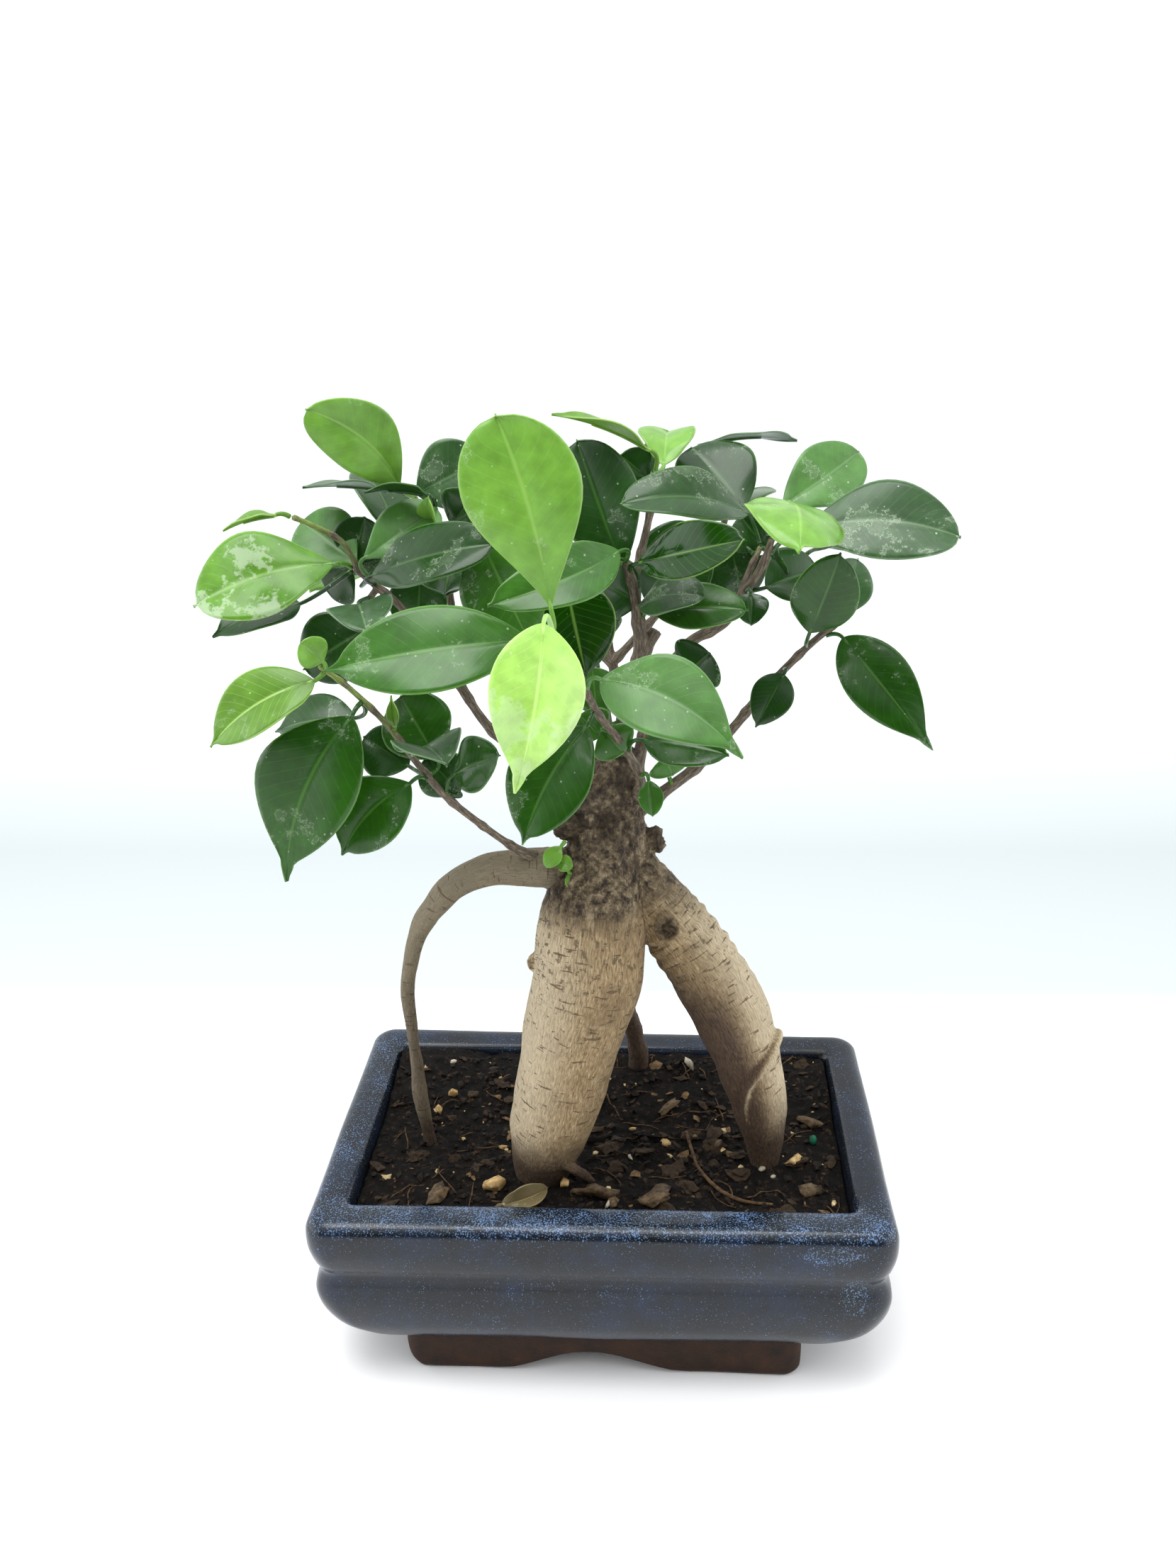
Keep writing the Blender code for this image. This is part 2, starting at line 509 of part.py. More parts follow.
def half_width(t, width, widest, point):
    """Half the blade's width at t: a wedge at the base, rounder or drawn out at the tip."""
    swell_at = t ** (math.log(0.5) / math.log(widest))
    curve = math.sin(math.pi * min(1.0, swell_at))
    power = 0.85 if t < widest else 0.58 + 0.55 * point
    return 0.5 * width * max(0.0, curve) ** power


def bark_point(lines, stalk, base):
    """The point just clear of the bark where a stalk leaves its twig for the blade's base."""
    nearest = min((point for line in lines for point in line),
                  key=lambda point: (point.xyz - stalk).length)
    outward = (base - nearest.xyz).normalized()
    return nearest.xyz + outward * (nearest.w + STALK_GAP)


def leaf(name, lines, stalk, base, tip, width, face, bow, sway, fold, widest, point, material):
    """A blade with its stalk, as a grid bent to shape and then given its thickness."""
    base, tip = Vector(base), Vector(tip)
    start = bark_point(lines, Vector(stalk), base)
    chord = tip - base
    along = chord.normalized()
    up = Vector(face)
    up = (up - along * up.dot(along)).normalized()
    side = along.cross(up)
    turn = base - along * min(0.5 * (base - start).length, 4.0)
    rows = []
    for i in range(STALK_ROWS):
        t = i / STALK_ROWS
        centre = start * (1 - t) ** 2 + turn * 2 * t * (1 - t) + base * t * t
        rows.append((centre, 0.5 * STALK_WIDTH, 0.0))
    for t in BLADE_STEPS:
        half = max(0.5 * STALK_WIDTH if t < 0.5 else 0.45, half_width(t, width, widest, point))
        belly = chord.length * 4 * t * (1 - t)
        centre = base + chord * t + up * bow * belly + side * sway * belly
        rows.append((centre, half, math.radians(fold) * min(1.0, 4 * t)))
    shape = bmesh.new()
    bmesh.ops.create_grid(shape, x_segments=2, y_segments=len(rows) - 1, size=1.0)
    for vert in shape.verts:
        across = vert.co.x
        centre, half, lift = rows[round((vert.co.y + 1) / 2 * (len(rows) - 1))]
        place = centre + side * across * half * math.cos(lift)
        place += up * abs(across) * half * math.sin(lift)
        vert.co = place * MM
    mesh = bpy.data.meshes.new(name)
    shape.to_mesh(mesh)
    shape.free()
    mesh.shade_smooth()
    obj = add_part(name, mesh, material)
    thick = obj.modifiers.new("thickness", "SOLIDIFY")
    thick.thickness = LEAF_THICKNESS * MM
    thick.offset = 0.0
    return obj


blade = {age: principled("leaf_" + age, colour, 0.35, 0.3) for age, colour in LEAF_COLOURS.items()}
for branch_name, rows in LEAVES.items():
    for name, *shape_values, age in rows:
        leaf("leaf_" + name, twigs[branch_name], *shape_values, blade[age])

# ---------------------------------------------------------------- stand it over the origin
bpy.context.view_layer.update()
graph = bpy.context.evaluated_depsgraph_get()
low = Vector((1e9, 1e9))
high = Vector((-1e9, -1e9))
for obj in parts.objects:
    if obj.type == "MESH":
        for corner in obj.evaluated_get(graph).bound_box:
            world = obj.matrix_world @ Vector(corner)
            low = Vector(map(min, low, world.xy))
            high = Vector(map(max, high, world.xy))
base_point.location = (-(low.x + high.x) / 2, -(low.y + high.y) / 2, -FOOT_BOTTOM * MM)
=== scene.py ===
"""A ginseng ficus bonsai in a blue-glazed pot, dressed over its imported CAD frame.

Shapes are drawn in millimetres about the middle of the pot, and each finished piece is moved
to its place in the frame in metres. The order is the order in which the pot was filled.
"""
import math
import random

import bmesh
import bpy
import numpy as np
from mathutils import Matrix, Vector, noise


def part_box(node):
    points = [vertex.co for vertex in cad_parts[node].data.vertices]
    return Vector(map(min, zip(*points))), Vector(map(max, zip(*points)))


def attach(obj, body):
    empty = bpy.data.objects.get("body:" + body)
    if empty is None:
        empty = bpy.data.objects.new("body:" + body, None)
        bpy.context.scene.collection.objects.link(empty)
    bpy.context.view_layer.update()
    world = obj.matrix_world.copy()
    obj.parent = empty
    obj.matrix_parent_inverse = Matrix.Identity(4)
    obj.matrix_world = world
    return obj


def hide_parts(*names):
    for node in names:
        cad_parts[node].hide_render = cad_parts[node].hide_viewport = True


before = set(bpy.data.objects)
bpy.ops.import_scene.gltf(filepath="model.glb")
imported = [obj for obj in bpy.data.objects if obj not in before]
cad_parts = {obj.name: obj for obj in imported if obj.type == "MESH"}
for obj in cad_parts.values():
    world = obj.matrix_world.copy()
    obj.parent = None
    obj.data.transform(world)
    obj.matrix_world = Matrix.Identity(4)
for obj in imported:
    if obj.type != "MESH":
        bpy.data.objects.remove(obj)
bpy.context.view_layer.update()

# ---------------------------------------------------------------- camera, paper and light
# The bonsai stands on white seamless paper and is looked down on from slightly above. A wide
# soft light hangs over its left front, and bright white walls fill the rest.
MM = 0.001
pot_low, pot_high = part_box("pot")
FOOT_DROP = 1.6                      # the drawing's zero is this far above the standing face
PLANT = Vector(((pot_low.x + pot_high.x) / 2, (pot_low.y + pot_high.y) / 2,
                pot_low.z + FOOT_DROP * MM))
scene = bpy.context.scene
scene.view_settings.view_transform = "Standard"

EYE = Vector((19.2, -323.5, 285.9))  # mm
PITCH, YAW, ROLL = (math.radians(angle) for angle in (21.17, -3.82, -1.55))
forward = Vector((math.sin(YAW) * math.cos(PITCH), math.cos(YAW) * math.cos(PITCH), -math.sin(PITCH)))
level = Vector((math.cos(YAW), -math.sin(YAW), 0.0))
upright = level.cross(forward)
right = level * math.cos(ROLL) + upright * math.sin(ROLL)
up = upright * math.cos(ROLL) - level * math.sin(ROLL)
lens = bpy.data.cameras.new("camera")
lens.lens = 30.11
lens.clip_start = 0.01
camera = bpy.data.objects.new("camera", lens)
camera.matrix_world = (Matrix.Translation(PLANT + EYE * MM)
                       @ Matrix((right, up, -forward)).transposed().to_4x4())
scene.collection.objects.link(camera)
scene.camera = camera


def linear(code, strength=1.0):
    """The linear colour of an sRGB hex code, made lighter or darker by a strength."""
    channels = [int(code[i:i + 2], 16) / 255 for i in (0, 2, 4)]
    curve = [c / 12.92 if c < 0.04045 else ((c + 0.055) / 1.055) ** 2.4 for c in channels]
    return (*[c * strength for c in curve], 1.0)


def add(tree, kind, sockets=None, stops=None, **settings):
    """Adds a shader node with its settings, and gives its sockets values or links."""
    node = tree.nodes.new("ShaderNode" + kind)
    for key, value in settings.items():
        setattr(node, key, value)
    for key, value in (sockets or {}).items():
        if isinstance(value, bpy.types.NodeSocket):
            tree.links.new(value, node.inputs[key])
        else:
            node.inputs[key].default_value = value
    for i, (place, colour) in enumerate(stops or []):
        stop = node.color_ramp.elements[i] if i < 2 else node.color_ramp.elements.new(place)
        stop.position, stop.color = place, colour
    return node


def new_material(name):
    """A material with its node tree and its shader."""
    material = bpy.data.materials.new(name)
    material.use_nodes = True
    return material, material.node_tree, material.node_tree.nodes["Principled BSDF"]


# Matt paper, white, with a painted faint grey shade where real paper would start to bend up behind the pot; this sheet
# stays flat.
paper, tree, shader = new_material("seamless_paper")
place = add(tree, "TexCoord").outputs["Object"]
depth = add(tree, "SeparateXYZ", {0: place}).outputs["Y"]
painted_bend_shade = add(tree, "MapRange", {"Value": depth, "From Min": 0.15, "From Max": 0.65}).outputs[0]
shade = add(tree, "ValToRGB", {0: painted_bend_shade}, stops=[
    (0.0, linear("FBFBFB")), (0.06, linear("C3C9CA")), (0.35, linear("BBC2C3")),
    (1.0, linear("E8EBEB"))]).outputs[0]
tree.links.new(shade, shader.inputs["Base Color"])
shader.inputs["Roughness"].default_value = 0.9
shader.inputs["Specular IOR Level"].default_value = 0.1
sheet = bmesh.new()
bmesh.ops.create_grid(sheet, x_segments=8, y_segments=8, size=6.0)
mesh = bpy.data.meshes.new("paper_floor")
sheet.to_mesh(mesh)
sheet.free()
mesh.materials.append(paper)
floor = bpy.data.objects.new("paper_floor", mesh)
scene.collection.objects.link(floor)

# White walls all round, brightest overhead and dim on the side the viewer stands on.
world = bpy.data.worlds.new("white_room")
world.use_nodes = True
tree = world.node_tree
toward = add(tree, "SeparateXYZ", {0: add(tree, "TexCoord").outputs["Generated"]})
behind = add(tree, "MapRange", {"Value": toward.outputs["Y"], "From Min": -0.7, "From Max": 0.25,
                                "To Min": 0.08, "To Max": 1.05}).outputs[0]
sideways = add(tree, "Math", {0: toward.outputs["X"]}, operation="ABSOLUTE").outputs[0]
sides = add(tree, "MapRange", {"Value": sideways, "From Min": 0.50, "From Max": 0.98, "To Max": 3.0}).outputs[0]
behind = add(tree, "Math", {0: behind, 1: sides}, operation="MAXIMUM").outputs[0]
overhead = add(tree, "MapRange", {"Value": toward.outputs["Z"], "From Min": 0.35, "From Max": 0.9,
                                  "To Max": 1.6}).outputs[0]
walls = add(tree, "Math", {0: behind, 1: overhead}, operation="MAXIMUM").outputs[0]
tree.links.new(walls, tree.nodes["Background"].inputs["Strength"])
tree.nodes["Background"].inputs["Color"].default_value = linear("FBFDFF")
scene.world = world
light = bpy.data.lights.new("overhead_softbox", "AREA")
light.size = 0.6
light.energy = 6.0
lamp = bpy.data.objects.new("overhead_softbox", light)
lamp.location = (-0.12, -0.12, 0.95)
lamp.rotation_euler = (Vector((0, 0, 0.1)) - lamp.location).to_track_quat("-Z", "Y").to_euler()
scene.collection.objects.link(lamp)


# ---------------------------------------------------------------- the pot
# Press-moulded stoneware with a blue-black speckled glaze that breaks light blue over its
# edges, with painted light: more light-blue specks on the front and left, which face the soft
# light. The arched foot ring was wiped clean before firing and shows red-brown clay.
L, W = 78.5, 48.5                    # half length and half width at the lower bulge
FOOT_L, FOOT_W = 55.6, 40.2
FOOT_TOP = 11.5
RIM_TOP = 54.0
CORNER_STEPS = 10


def finish(name, shape, materials, slot, *nodes):
    """Puts a shape drawn in mm into its place as a smooth-shaded piece of the plant or its pot."""
    mesh = bpy.data.meshes.new(name)
    shape.to_mesh(mesh)
    shape.free()
    return finish_mesh(name, mesh, materials, slot, *nodes)


def finish_mesh(name, mesh, materials, slot, *nodes):
    mesh.transform(Matrix.Translation(PLANT) @ Matrix.Scale(MM, 4))
    mesh.materials.clear()
    for material in materials:
        mesh.materials.append(material)
    mesh.shade_smooth()
    piece = bpy.data.objects.new(name, mesh)
    scene.collection.objects.link(piece)
    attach(piece, "root")
    if nodes:
        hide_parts(*nodes)
    return piece


def rounded_rectangle(half_length, half_width, radius, steps=CORNER_STEPS, along=(14, 9)):
    """Points round a rectangle with rounded corners and divided sides, anticlockwise."""
    corners = []
    for corner, (sx, sy) in enumerate(((1, 1), (-1, 1), (-1, -1), (1, -1))):
        for step in range(steps + 1):
            angle = math.radians(90.0 * corner + 90.0 * step / steps)
            corners.append(Vector((sx * (half_length - radius) + radius * math.cos(angle),
                                   sy * (half_width - radius) + radius * math.sin(angle))))
    points = []
    for i, point in enumerate(corners):
        points.append(point)
        if i % (steps + 1) == steps:
            following = corners[(i + 1) % len(corners)]
            parts = along[(i // (steps + 1)) % 2]
            points += [point.lerp(following, part / parts) for part in range(1, parts)]
    return points


def loft(rings, along=(14, 9)):
    """A closed shape through rounded rectangles: (z, half length, half width, corner radius)."""
    shape = bmesh.new()
    loops = []
    for z, half_length, half_width, radius in rings:
        verts = [shape.verts.new((x, y, z)) for x, y in
                 rounded_rectangle(half_length, half_width, radius, along=along)]
        loops.append([shape.edges.new((a, b)) for a, b in zip(verts, verts[1:] + verts[:1])])
    for lower, upper in zip(loops, loops[1:]):
        bmesh.ops.bridge_loops(shape, edges=lower + upper)
    bmesh.ops.holes_fill(shape, edges=loops[0] + loops[-1], sides=0)
    bmesh.ops.recalc_face_normals(shape, faces=shape.faces)
    return shape


def spline(knots, step):
    """Points on a smooth curve through knots of any size, about one each step of its length."""
    knots = [np.array(knot, float) for knot in knots]
    ends = [2 * knots[0] - knots[1]] + knots + [2 * knots[-1] - knots[-2]]
    line = []
    for a, b, c, d in zip(ends, ends[1:], ends[2:], ends[3:]):
        pieces = max(1, round(float(np.linalg.norm((c - b)[:3])) / step))
        for t in np.arange(pieces) / pieces:
            line.append(0.5 * (2 * b + (c - a) * t + (2 * a - 5 * b + 4 * c - d) * t * t
                               + (3 * b - a - 3 * c + d) * t ** 3))
    return line + [knots[-1]]


def applied(shape, *modifiers):
    """The mesh of a shape after modifiers, each given as (type, {settings})."""
    mesh = bpy.data.meshes.new("working")
    shape.to_mesh(mesh)
    shape.free()
    holder = bpy.data.objects.new("working", mesh)
    scene.collection.objects.link(holder)
    for kind, settings in modifiers:
        modifier = holder.modifiers.new(kind.lower(), kind)
        for key, value in settings.items():
            setattr(modifier, key, value)
    bpy.context.view_layer.update()
    graph = bpy.context.evaluated_depsgraph_get()
    result = bpy.data.meshes.new_from_object(holder.evaluated_get(graph), depsgraph=graph)
    bpy.data.objects.remove(holder)
    return result


def tool(shape):
    """A cutter for a Boolean, kept out of the picture."""
    mesh = bpy.data.meshes.new("tool")
    shape.to_mesh(mesh)
    shape.free()
    cutter = bpy.data.objects.new("tool", mesh)
    scene.collection.objects.link(cutter)
    return cutter


profile = [
    (FOOT_TOP - 1.2, FOOT_L - 1, FOOT_W - 1, 5.0), (FOOT_TOP, FOOT_L + 2, FOOT_W + 0.4, 6.0),
    (12.3, L - 14.5, W - 6.6, 8.0), (14.2, L - 9.8, W - 4.6, 9.0),
    (18.5, L - 4.3, W - 2.2, 8.5), (24.0, L - 1.2, W - 0.8, 8.0), (29.0, L - 0.2, W - 0.2, 7.6),
    (32.5, L - 0.6, W - 0.6, 7.6), (36.3, L - 1.9, W - 1.7, 6.8), (40.0, L - 0.6, W - 0.5, 6.8),
    (44.5, L + 0.3, W + 0.4, 6.8), (49.0, L + 0.4, W + 0.4, 6.6), (51.6, L - 0.1, W - 0.1, 6.2),
    (53.1, L - 1.3, W - 1.3, 5.6), (RIM_TOP - 0.1, L - 3.0, W - 3.0, 4.6),
    (RIM_TOP, L - 5.6, W - 5.6, 5.0), (53.4, L - 8.6, W - 8.8, 3.6), (52.0, L - 9.9, W - 10.1, 3.0),
    (48.0, L - 10.6, W - 10.4, 3.2), (30.0, L - 11.2, W - 10.6, 5.0),
    (23.0, L - 14.0, W - 12.4, 8.0), (19.0, L - 19.0, W - 16.0, 10.0),
    (17.5, L - 26.0, W - 21.0, 12.0),
]
body = loft(spline(profile, 1.2))
for x in (-28.0, 28.0):              # drainage holes, 10 mm across
    hole = bmesh.new()
    bmesh.ops.create_cone(hole, cap_ends=True, segments=32, radius1=5, radius2=5, depth=20)
    bmesh.ops.translate(hole, verts=hole.verts, vec=(x, 0, 14))
    cutter = tool(hole)
    cut = applied(body, ("BOOLEAN", {"object": cutter, "solver": "EXACT"}))
    bpy.data.objects.remove(cutter)
    body = bmesh.new()
    body.from_mesh(cut)


def pressed(point):
    """Where a point of the true box lands in the hand-pressed pot: its back bows out a little."""
    moved = point.copy()
    moved.xy += noise.noise_vector(point / 38).xy * 0.45
    high = min(1.0, max(0.0, point.z / 40))
    moved.y += max(0.0, point.y / W) ** 2 * high * (2.4 - 1.3 * point.x / L)
    if point.y < 0 and abs(point.y) < W - 6:
        moved.y += 1.2 * high * min(1.0, -point.y / (W - 10))
    return moved


for vert in body.verts:
    vert.co = pressed(vert.co)

glaze, tree, shader = new_material("speckled_stoneware_glaze")
place = add(tree, "TexCoord").outputs["Object"]
axes = add(tree, "SeparateXYZ", {0: place})
# Slow clouds of blue and brown-black in the glaze, 15 mm across, with finer runs in them.
clouds = add(tree, "TexNoise", {"Vector": place, "Scale": 60.0, "Detail": 6.0, "Roughness": 0.7}).outputs[0]
ground = add(tree, "ValToRGB", {0: clouds}, stops=[
    (0.34, linear("0F1114")), (0.48, linear("12171F")), (0.60, linear("151E2E")),
    (0.74, linear("1A2740"))]).outputs[0]
# Light blue crystals 0.3 to 0.5 mm across, thick where the glaze breaks over an edge, and thicker on the front and
# left of the rim as painted light where the soft light falls.
crystals = add(tree, "TexNoise", {"Vector": place, "Scale": 2300.0, "Detail": 2.0, "Roughness": 0.7}).outputs[0]
rim_height = add(tree, "MapRange", {"Value": axes.outputs["Z"], "From Min": PLANT.z + 0.0500,
                                    "From Max": PLANT.z + 0.0532}).outputs[0]
# Painted light: the front and the left of the rim, which face the soft light, get more light-blue crystals.
front = add(tree, "MapRange", {"Value": axes.outputs["Y"], "From Min": PLANT.y - 0.030,
                               "From Max": PLANT.y - 0.040}).outputs[0]
left = add(tree, "MapRange", {"Value": axes.outputs["X"], "From Min": PLANT.x - 0.055,
                              "From Max": PLANT.x - 0.068}).outputs[0]
left = add(tree, "Math", {0: left, 1: 0.6}, operation="MULTIPLY").outputs[0]
lamp_side_light = add(tree, "Math", {0: front, 1: left}, operation="MAXIMUM").outputs[0]
lamp_side_light = add(tree, "MapRange", {"Value": lamp_side_light, "To Min": 0.12}).outputs[0]
rim_break_and_lamp_light = add(tree, "Math", {0: rim_height, 1: lamp_side_light}, operation="MULTIPLY").outputs[0]
patches = add(tree, "TexNoise", {"Vector": place, "Scale": 90.0, "Detail": 5.0, "Roughness": 0.65}).outputs[0]
patch = add(tree, "MapRange", {"Value": patches, "From Min": 0.45, "From Max": 0.75,
                               "To Min": 0.32, "To Max": 0.48}).outputs[0]
flow = add(tree, "MapRange", {"Value": patches, "From Min": 0.35, "From Max": 0.6,
                              "To Min": 0.36, "To Max": 0.56}).outputs[0]
amount = add(tree, "Math", {0: rim_break_and_lamp_light, 1: flow, 2: patch}, operation="MULTIPLY_ADD").outputs[0]
# Two thick drips where the glaze pooled near the right front corner.
for middle, widths in (((61.5, -49.0, 48.0), (10.0, 8.0, 3.2)), ((67.7, -47.0, 33.5), (4.5, 8.0, 7.0))):
    middle = PLANT + Vector(middle) * MM
    from_middle = add(tree, "VectorMath", {0: place, 1: middle}, operation="SUBTRACT").outputs[0]
    from_middle = add(tree, "VectorMath", {0: from_middle, 1: [1 / (w * MM) for w in widths]},
                      operation="MULTIPLY").outputs[0]
    away = add(tree, "VectorMath", {0: from_middle}, operation="LENGTH").outputs["Value"]
    drip = add(tree, "MapRange", {"Value": away, "From Min": 1.1, "From Max": 0.6, "To Max": 0.9}).outputs[0]
    drip = add(tree, "Math", {0: drip, 1: flow}, operation="MULTIPLY").outputs[0]
    amount = add(tree, "Math", {0: amount, 1: drip}, operation="ADD").outputs[0]
threshold = add(tree, "MapRange", {"Value": amount, "To Min": 0.73, "To Max": 0.49}).outputs[0]
over = add(tree, "Math", {0: crystals, 1: threshold}, operation="SUBTRACT").outputs[0]
speck = add(tree, "MapRange", {"Value": over, "From Min": 0.0, "From Max": 0.06}).outputs[0]
hue = add(tree, "ValToRGB", {0: patches}, stops=[
    (0.35, linear("5A6F7C")), (0.5, linear("5A7290")), (0.65, linear("6484B0"))]).outputs[0]
colour = add(tree, "Mix", {0: speck, 6: ground, 7: hue}, data_type="RGBA").outputs[2]
tree.links.new(colour, shader.inputs["Base Color"])
uneven = add(tree, "TexNoise", {"Vector": place, "Scale": 140.0, "Detail": 3.0}).outputs[0]
gloss = add(tree, "MapRange", {"Value": uneven, "To Min": 0.12, "To Max": 0.30}).outputs[0]
tree.links.new(gloss, shader.inputs["Roughness"])
ripple = add(tree, "Bump", {"Strength": 0.2, "Distance": 0.0005, "Height": uneven}).outputs[0]
tree.links.new(ripple, shader.inputs["Normal"])
shader.inputs["IOR"].default_value = 1.42
finish("pot_glazed_body", body, [glaze], "glazed_stoneware", "pot")

foot = loft(spline([(-1.6, FOOT_L - 1.6, FOOT_W - 1.6, 4.0), (-1.2, FOOT_L - 0.7, FOOT_W - 0.7, 4.6),
                    (0.0, FOOT_L, FOOT_W, 5.0), (6.0, FOOT_L + 0.1, FOOT_W + 0.1, 5.0),
                    (FOOT_TOP + 0.4, FOOT_L, FOOT_W, 5.0)], 1.2))
recess = loft([(-4.0, FOOT_L - 8.0, FOOT_W - 8.0, 6.0), (FOOT_TOP - 1.5, FOOT_L - 9.0, FOOT_W - 9.0, 6.0)])
cutter = tool(recess)
cut = applied(foot, ("BOOLEAN", {"object": cutter, "solver": "EXACT"}))
bpy.data.objects.remove(cutter)
for middle, half_span, height, turned in ((-3.0, 33.0, 7.6, 0), (0.0, 20.0, 5.5, 90)):
    arch = bmesh.new()               # a low arch, drawn as an outline and pushed through the foot
    outline = [(middle + half_span, -6), (middle - half_span, -6)]
    for i in range(25):
        along = -1.0 + i / 12
        outline.append((middle + half_span * along,
                        height * (0.5 + 0.5 * math.cos(math.pi * along)) ** 1.1 - FOOT_DROP))
    face = arch.faces.new([arch.verts.new((x, -70, z)) for x, z in outline])
    push = bmesh.ops.extrude_face_region(arch, geom=[face])
    bmesh.ops.translate(arch, verts=[v for v in push["geom"] if isinstance(v, bmesh.types.BMVert)],
                        vec=(0, 140, 0))
    bmesh.ops.rotate(arch, verts=arch.verts, matrix=Matrix.Rotation(math.radians(turned), 3, "Z"))
    bmesh.ops.recalc_face_normals(arch, faces=arch.faces)
    cutter = tool(arch)
    foot = bmesh.new()
    foot.from_mesh(cut)
    cut = applied(foot, ("BOOLEAN", {"object": cutter, "solver": "EXACT"}))
    bpy.data.objects.remove(cutter)
foot = bmesh.new()
foot.from_mesh(cut)
for vert in foot.verts:              # the left end is worn round underneath
    out = min(1.0, max(0.0, (-vert.co.x - FOOT_L + 7.5) / 7.5))
    vert.co.z += 7.0 * (1 - math.sqrt(1 - out * out)) * max(0.0, (9 - vert.co.z) / 11)
    vert.co.xy += noise.noise_vector(vert.co / 20).xy * 0.5

clay, tree, shader = new_material("fired_stoneware_clay")
place = add(tree, "TexCoord").outputs["Object"]
body_noise = add(tree, "TexNoise", {"Vector": place, "Scale": 160.0, "Detail": 5.0, "Roughness": 0.6}).outputs[0]
tint = add(tree, "ValToRGB", {0: body_noise}, stops=[
    (0.3, linear("1F150E")), (0.6, linear("362318")), (0.8, linear("4A2F20"))]).outputs[0]
tree.links.new(tint, shader.inputs["Base Color"])
grit = add(tree, "TexNoise", {"Vector": place, "Scale": 1400.0, "Detail": 3.0}).outputs[0]
sheen = add(tree, "MapRange", {"Value": body_noise, "To Min": 0.45, "To Max": 0.8}).outputs[0]
tree.links.new(sheen, shader.inputs["Roughness"])
shader.inputs["Specular IOR Level"].default_value = 0.2
pits = add(tree, "Bump", {"Strength": 0.4, "Distance": 0.0004, "Height": grit}).outputs[0]
tree.links.new(pits, shader.inputs["Normal"])
finish("pot_clay_foot", foot, [clay], "glazed_stoneware", "pot")

# ---------------------------------------------------------------- roots and trunk
# The swollen roots and the short trunk are one living piece, grown together where they meet.
# Thin smooth tan skin covers the roots; the neck is old cracked bark with two pruning scars.
SOIL_TOP = 46.5
main_root = [
    (2, -3, 150, 8.4), (1, -5, 140, 10.5), (-1, -8, 131, 12.8), (-2, -12, 122, 14.3),
    (-3, -14, 111, 14.8), (-6, -16, 99, 13.9), (-9, -17, 87, 13.0), (-12, -17, 74, 12.4),
    (-15, -16, 62, 11.0), (-17, -15, 52, 8.8), (-18, -15, 44, 6.5), (-18, -15, 36, 3.5),
]
right_leg = [
    (5, -2, 138, 8.0), (13, -3, 130, 8.6), (21.5, -5, 119.5, 9.6), (29, -7.3, 109, 10.2),
    (35.2, -9.3, 98, 10.6), (39.4, -10, 86, 9.4), (42.7, -10, 74, 8.5), (45, -9, 62, 7.1),
    (46, -9, 52, 4.9), (46, -9, 44, 3.4), (46, -9, 36, 2.0),
]
aerial_root = [
    (-2, -6, 138, 6.0), (-14, -9, 140, 5.4), (-24, -11, 141, 4.7), (-31, -12, 140, 4.2),
    (-38, -11, 136, 3.8), (-44, -10, 129, 3.3), (-49, -8, 121, 2.7), (-52, -7, 112, 2.3),
    (-54, -6, 101, 2.1), (-54, -5, 89, 1.9), (-54, -3, 77, 1.9), (-54, -2, 67, 2.2),
    (-53, -2, 56, 2.0), (-52, -2, 46, 2.0), (-51, -2, 36, 1.6),
]
back_root = [
    (-1, 0, 112, 7.0), (2, 9, 99, 4.6), (4, 18, 86, 3.2), (7, 26, 72, 2.8), (9, 32, 58, 3.0),
    (9, 35, 47, 3.2), (9, 36, 36, 2.2),
]
front_rootlet = [
    (-15, -20, 60, 4.0), (-10, -23, 56, 1.9), (-7, -22, 53, 1.5), (-4, -19, 48, 1.4),
    (-2, -17, 42, 1.2),
]
neck = [
    (3, -2, 134, 9.8), (4, -2, 141, 9.6), (3, -1, 148, 9.8), (3, 0, 155, 9.2),
    (4, 0, 161, 8.2), (5, 0, 166, 6.9), (5, 0, 169, 6.2),
]
knobs = [(-7, -5, 150, 3.6), (-5, -3, 148, 4.6), (13, 0, 146, 3.8), (16, 0, 144, 2.9),
         (10, -2, 139, 4.0), (0, -9, 141, 4.5), (23, -8, 113, 5.2), (4, -8, 152, 3.0)]


def limb_mesh(shape, line, sides=16):
    """Adds a closed round limb of changing thickness to a shape."""
    curve = bpy.data.curves.new("limb", "CURVE")
    curve.dimensions = "3D"
    curve.bevel_depth = 1.0
    curve.bevel_resolution = sides // 2 - 2
    curve.use_fill_caps = True
    path = curve.splines.new("POLY")
    path.points.add(len(line) - 1)
    for point, (x, y, z, radius) in zip(path.points, line):
        point.co = (x, y, z, 1.0)
        point.radius = radius
    holder = bpy.data.objects.new("limb", curve)
    scene.collection.objects.link(holder)
    bpy.context.view_layer.update()
    graph = bpy.context.evaluated_depsgraph_get()
    mesh = bpy.data.meshes.new_from_object(holder.evaluated_get(graph), depsgraph=graph)
    bpy.data.objects.remove(holder)
    before = len(shape.verts)
    shape.from_mesh(mesh)
    shape.verts.ensure_lookup_table()
    bmesh.ops.remove_doubles(shape, verts=shape.verts[before:], dist=0.001)


def grown_together(lines, lumps, voxel, smoothing):
    """One closed skin over limbs and round lumps (x, y, z, radius)."""
    shape = bmesh.new()
    for line in lines:
        limb_mesh(shape, line, 48 if max(point[3] for point in line) > 5 else 16)
    for x, y, z, radius in lumps:
        ball = bmesh.ops.create_icosphere(shape, subdivisions=3, radius=radius)
        bmesh.ops.translate(shape, verts=ball["verts"], vec=(x, y, z))
    return applied(shape, ("REMESH", {"mode": "VOXEL", "voxel_size": voxel}),
                   ("SMOOTH", {"factor": 0.5, "iterations": smoothing}))


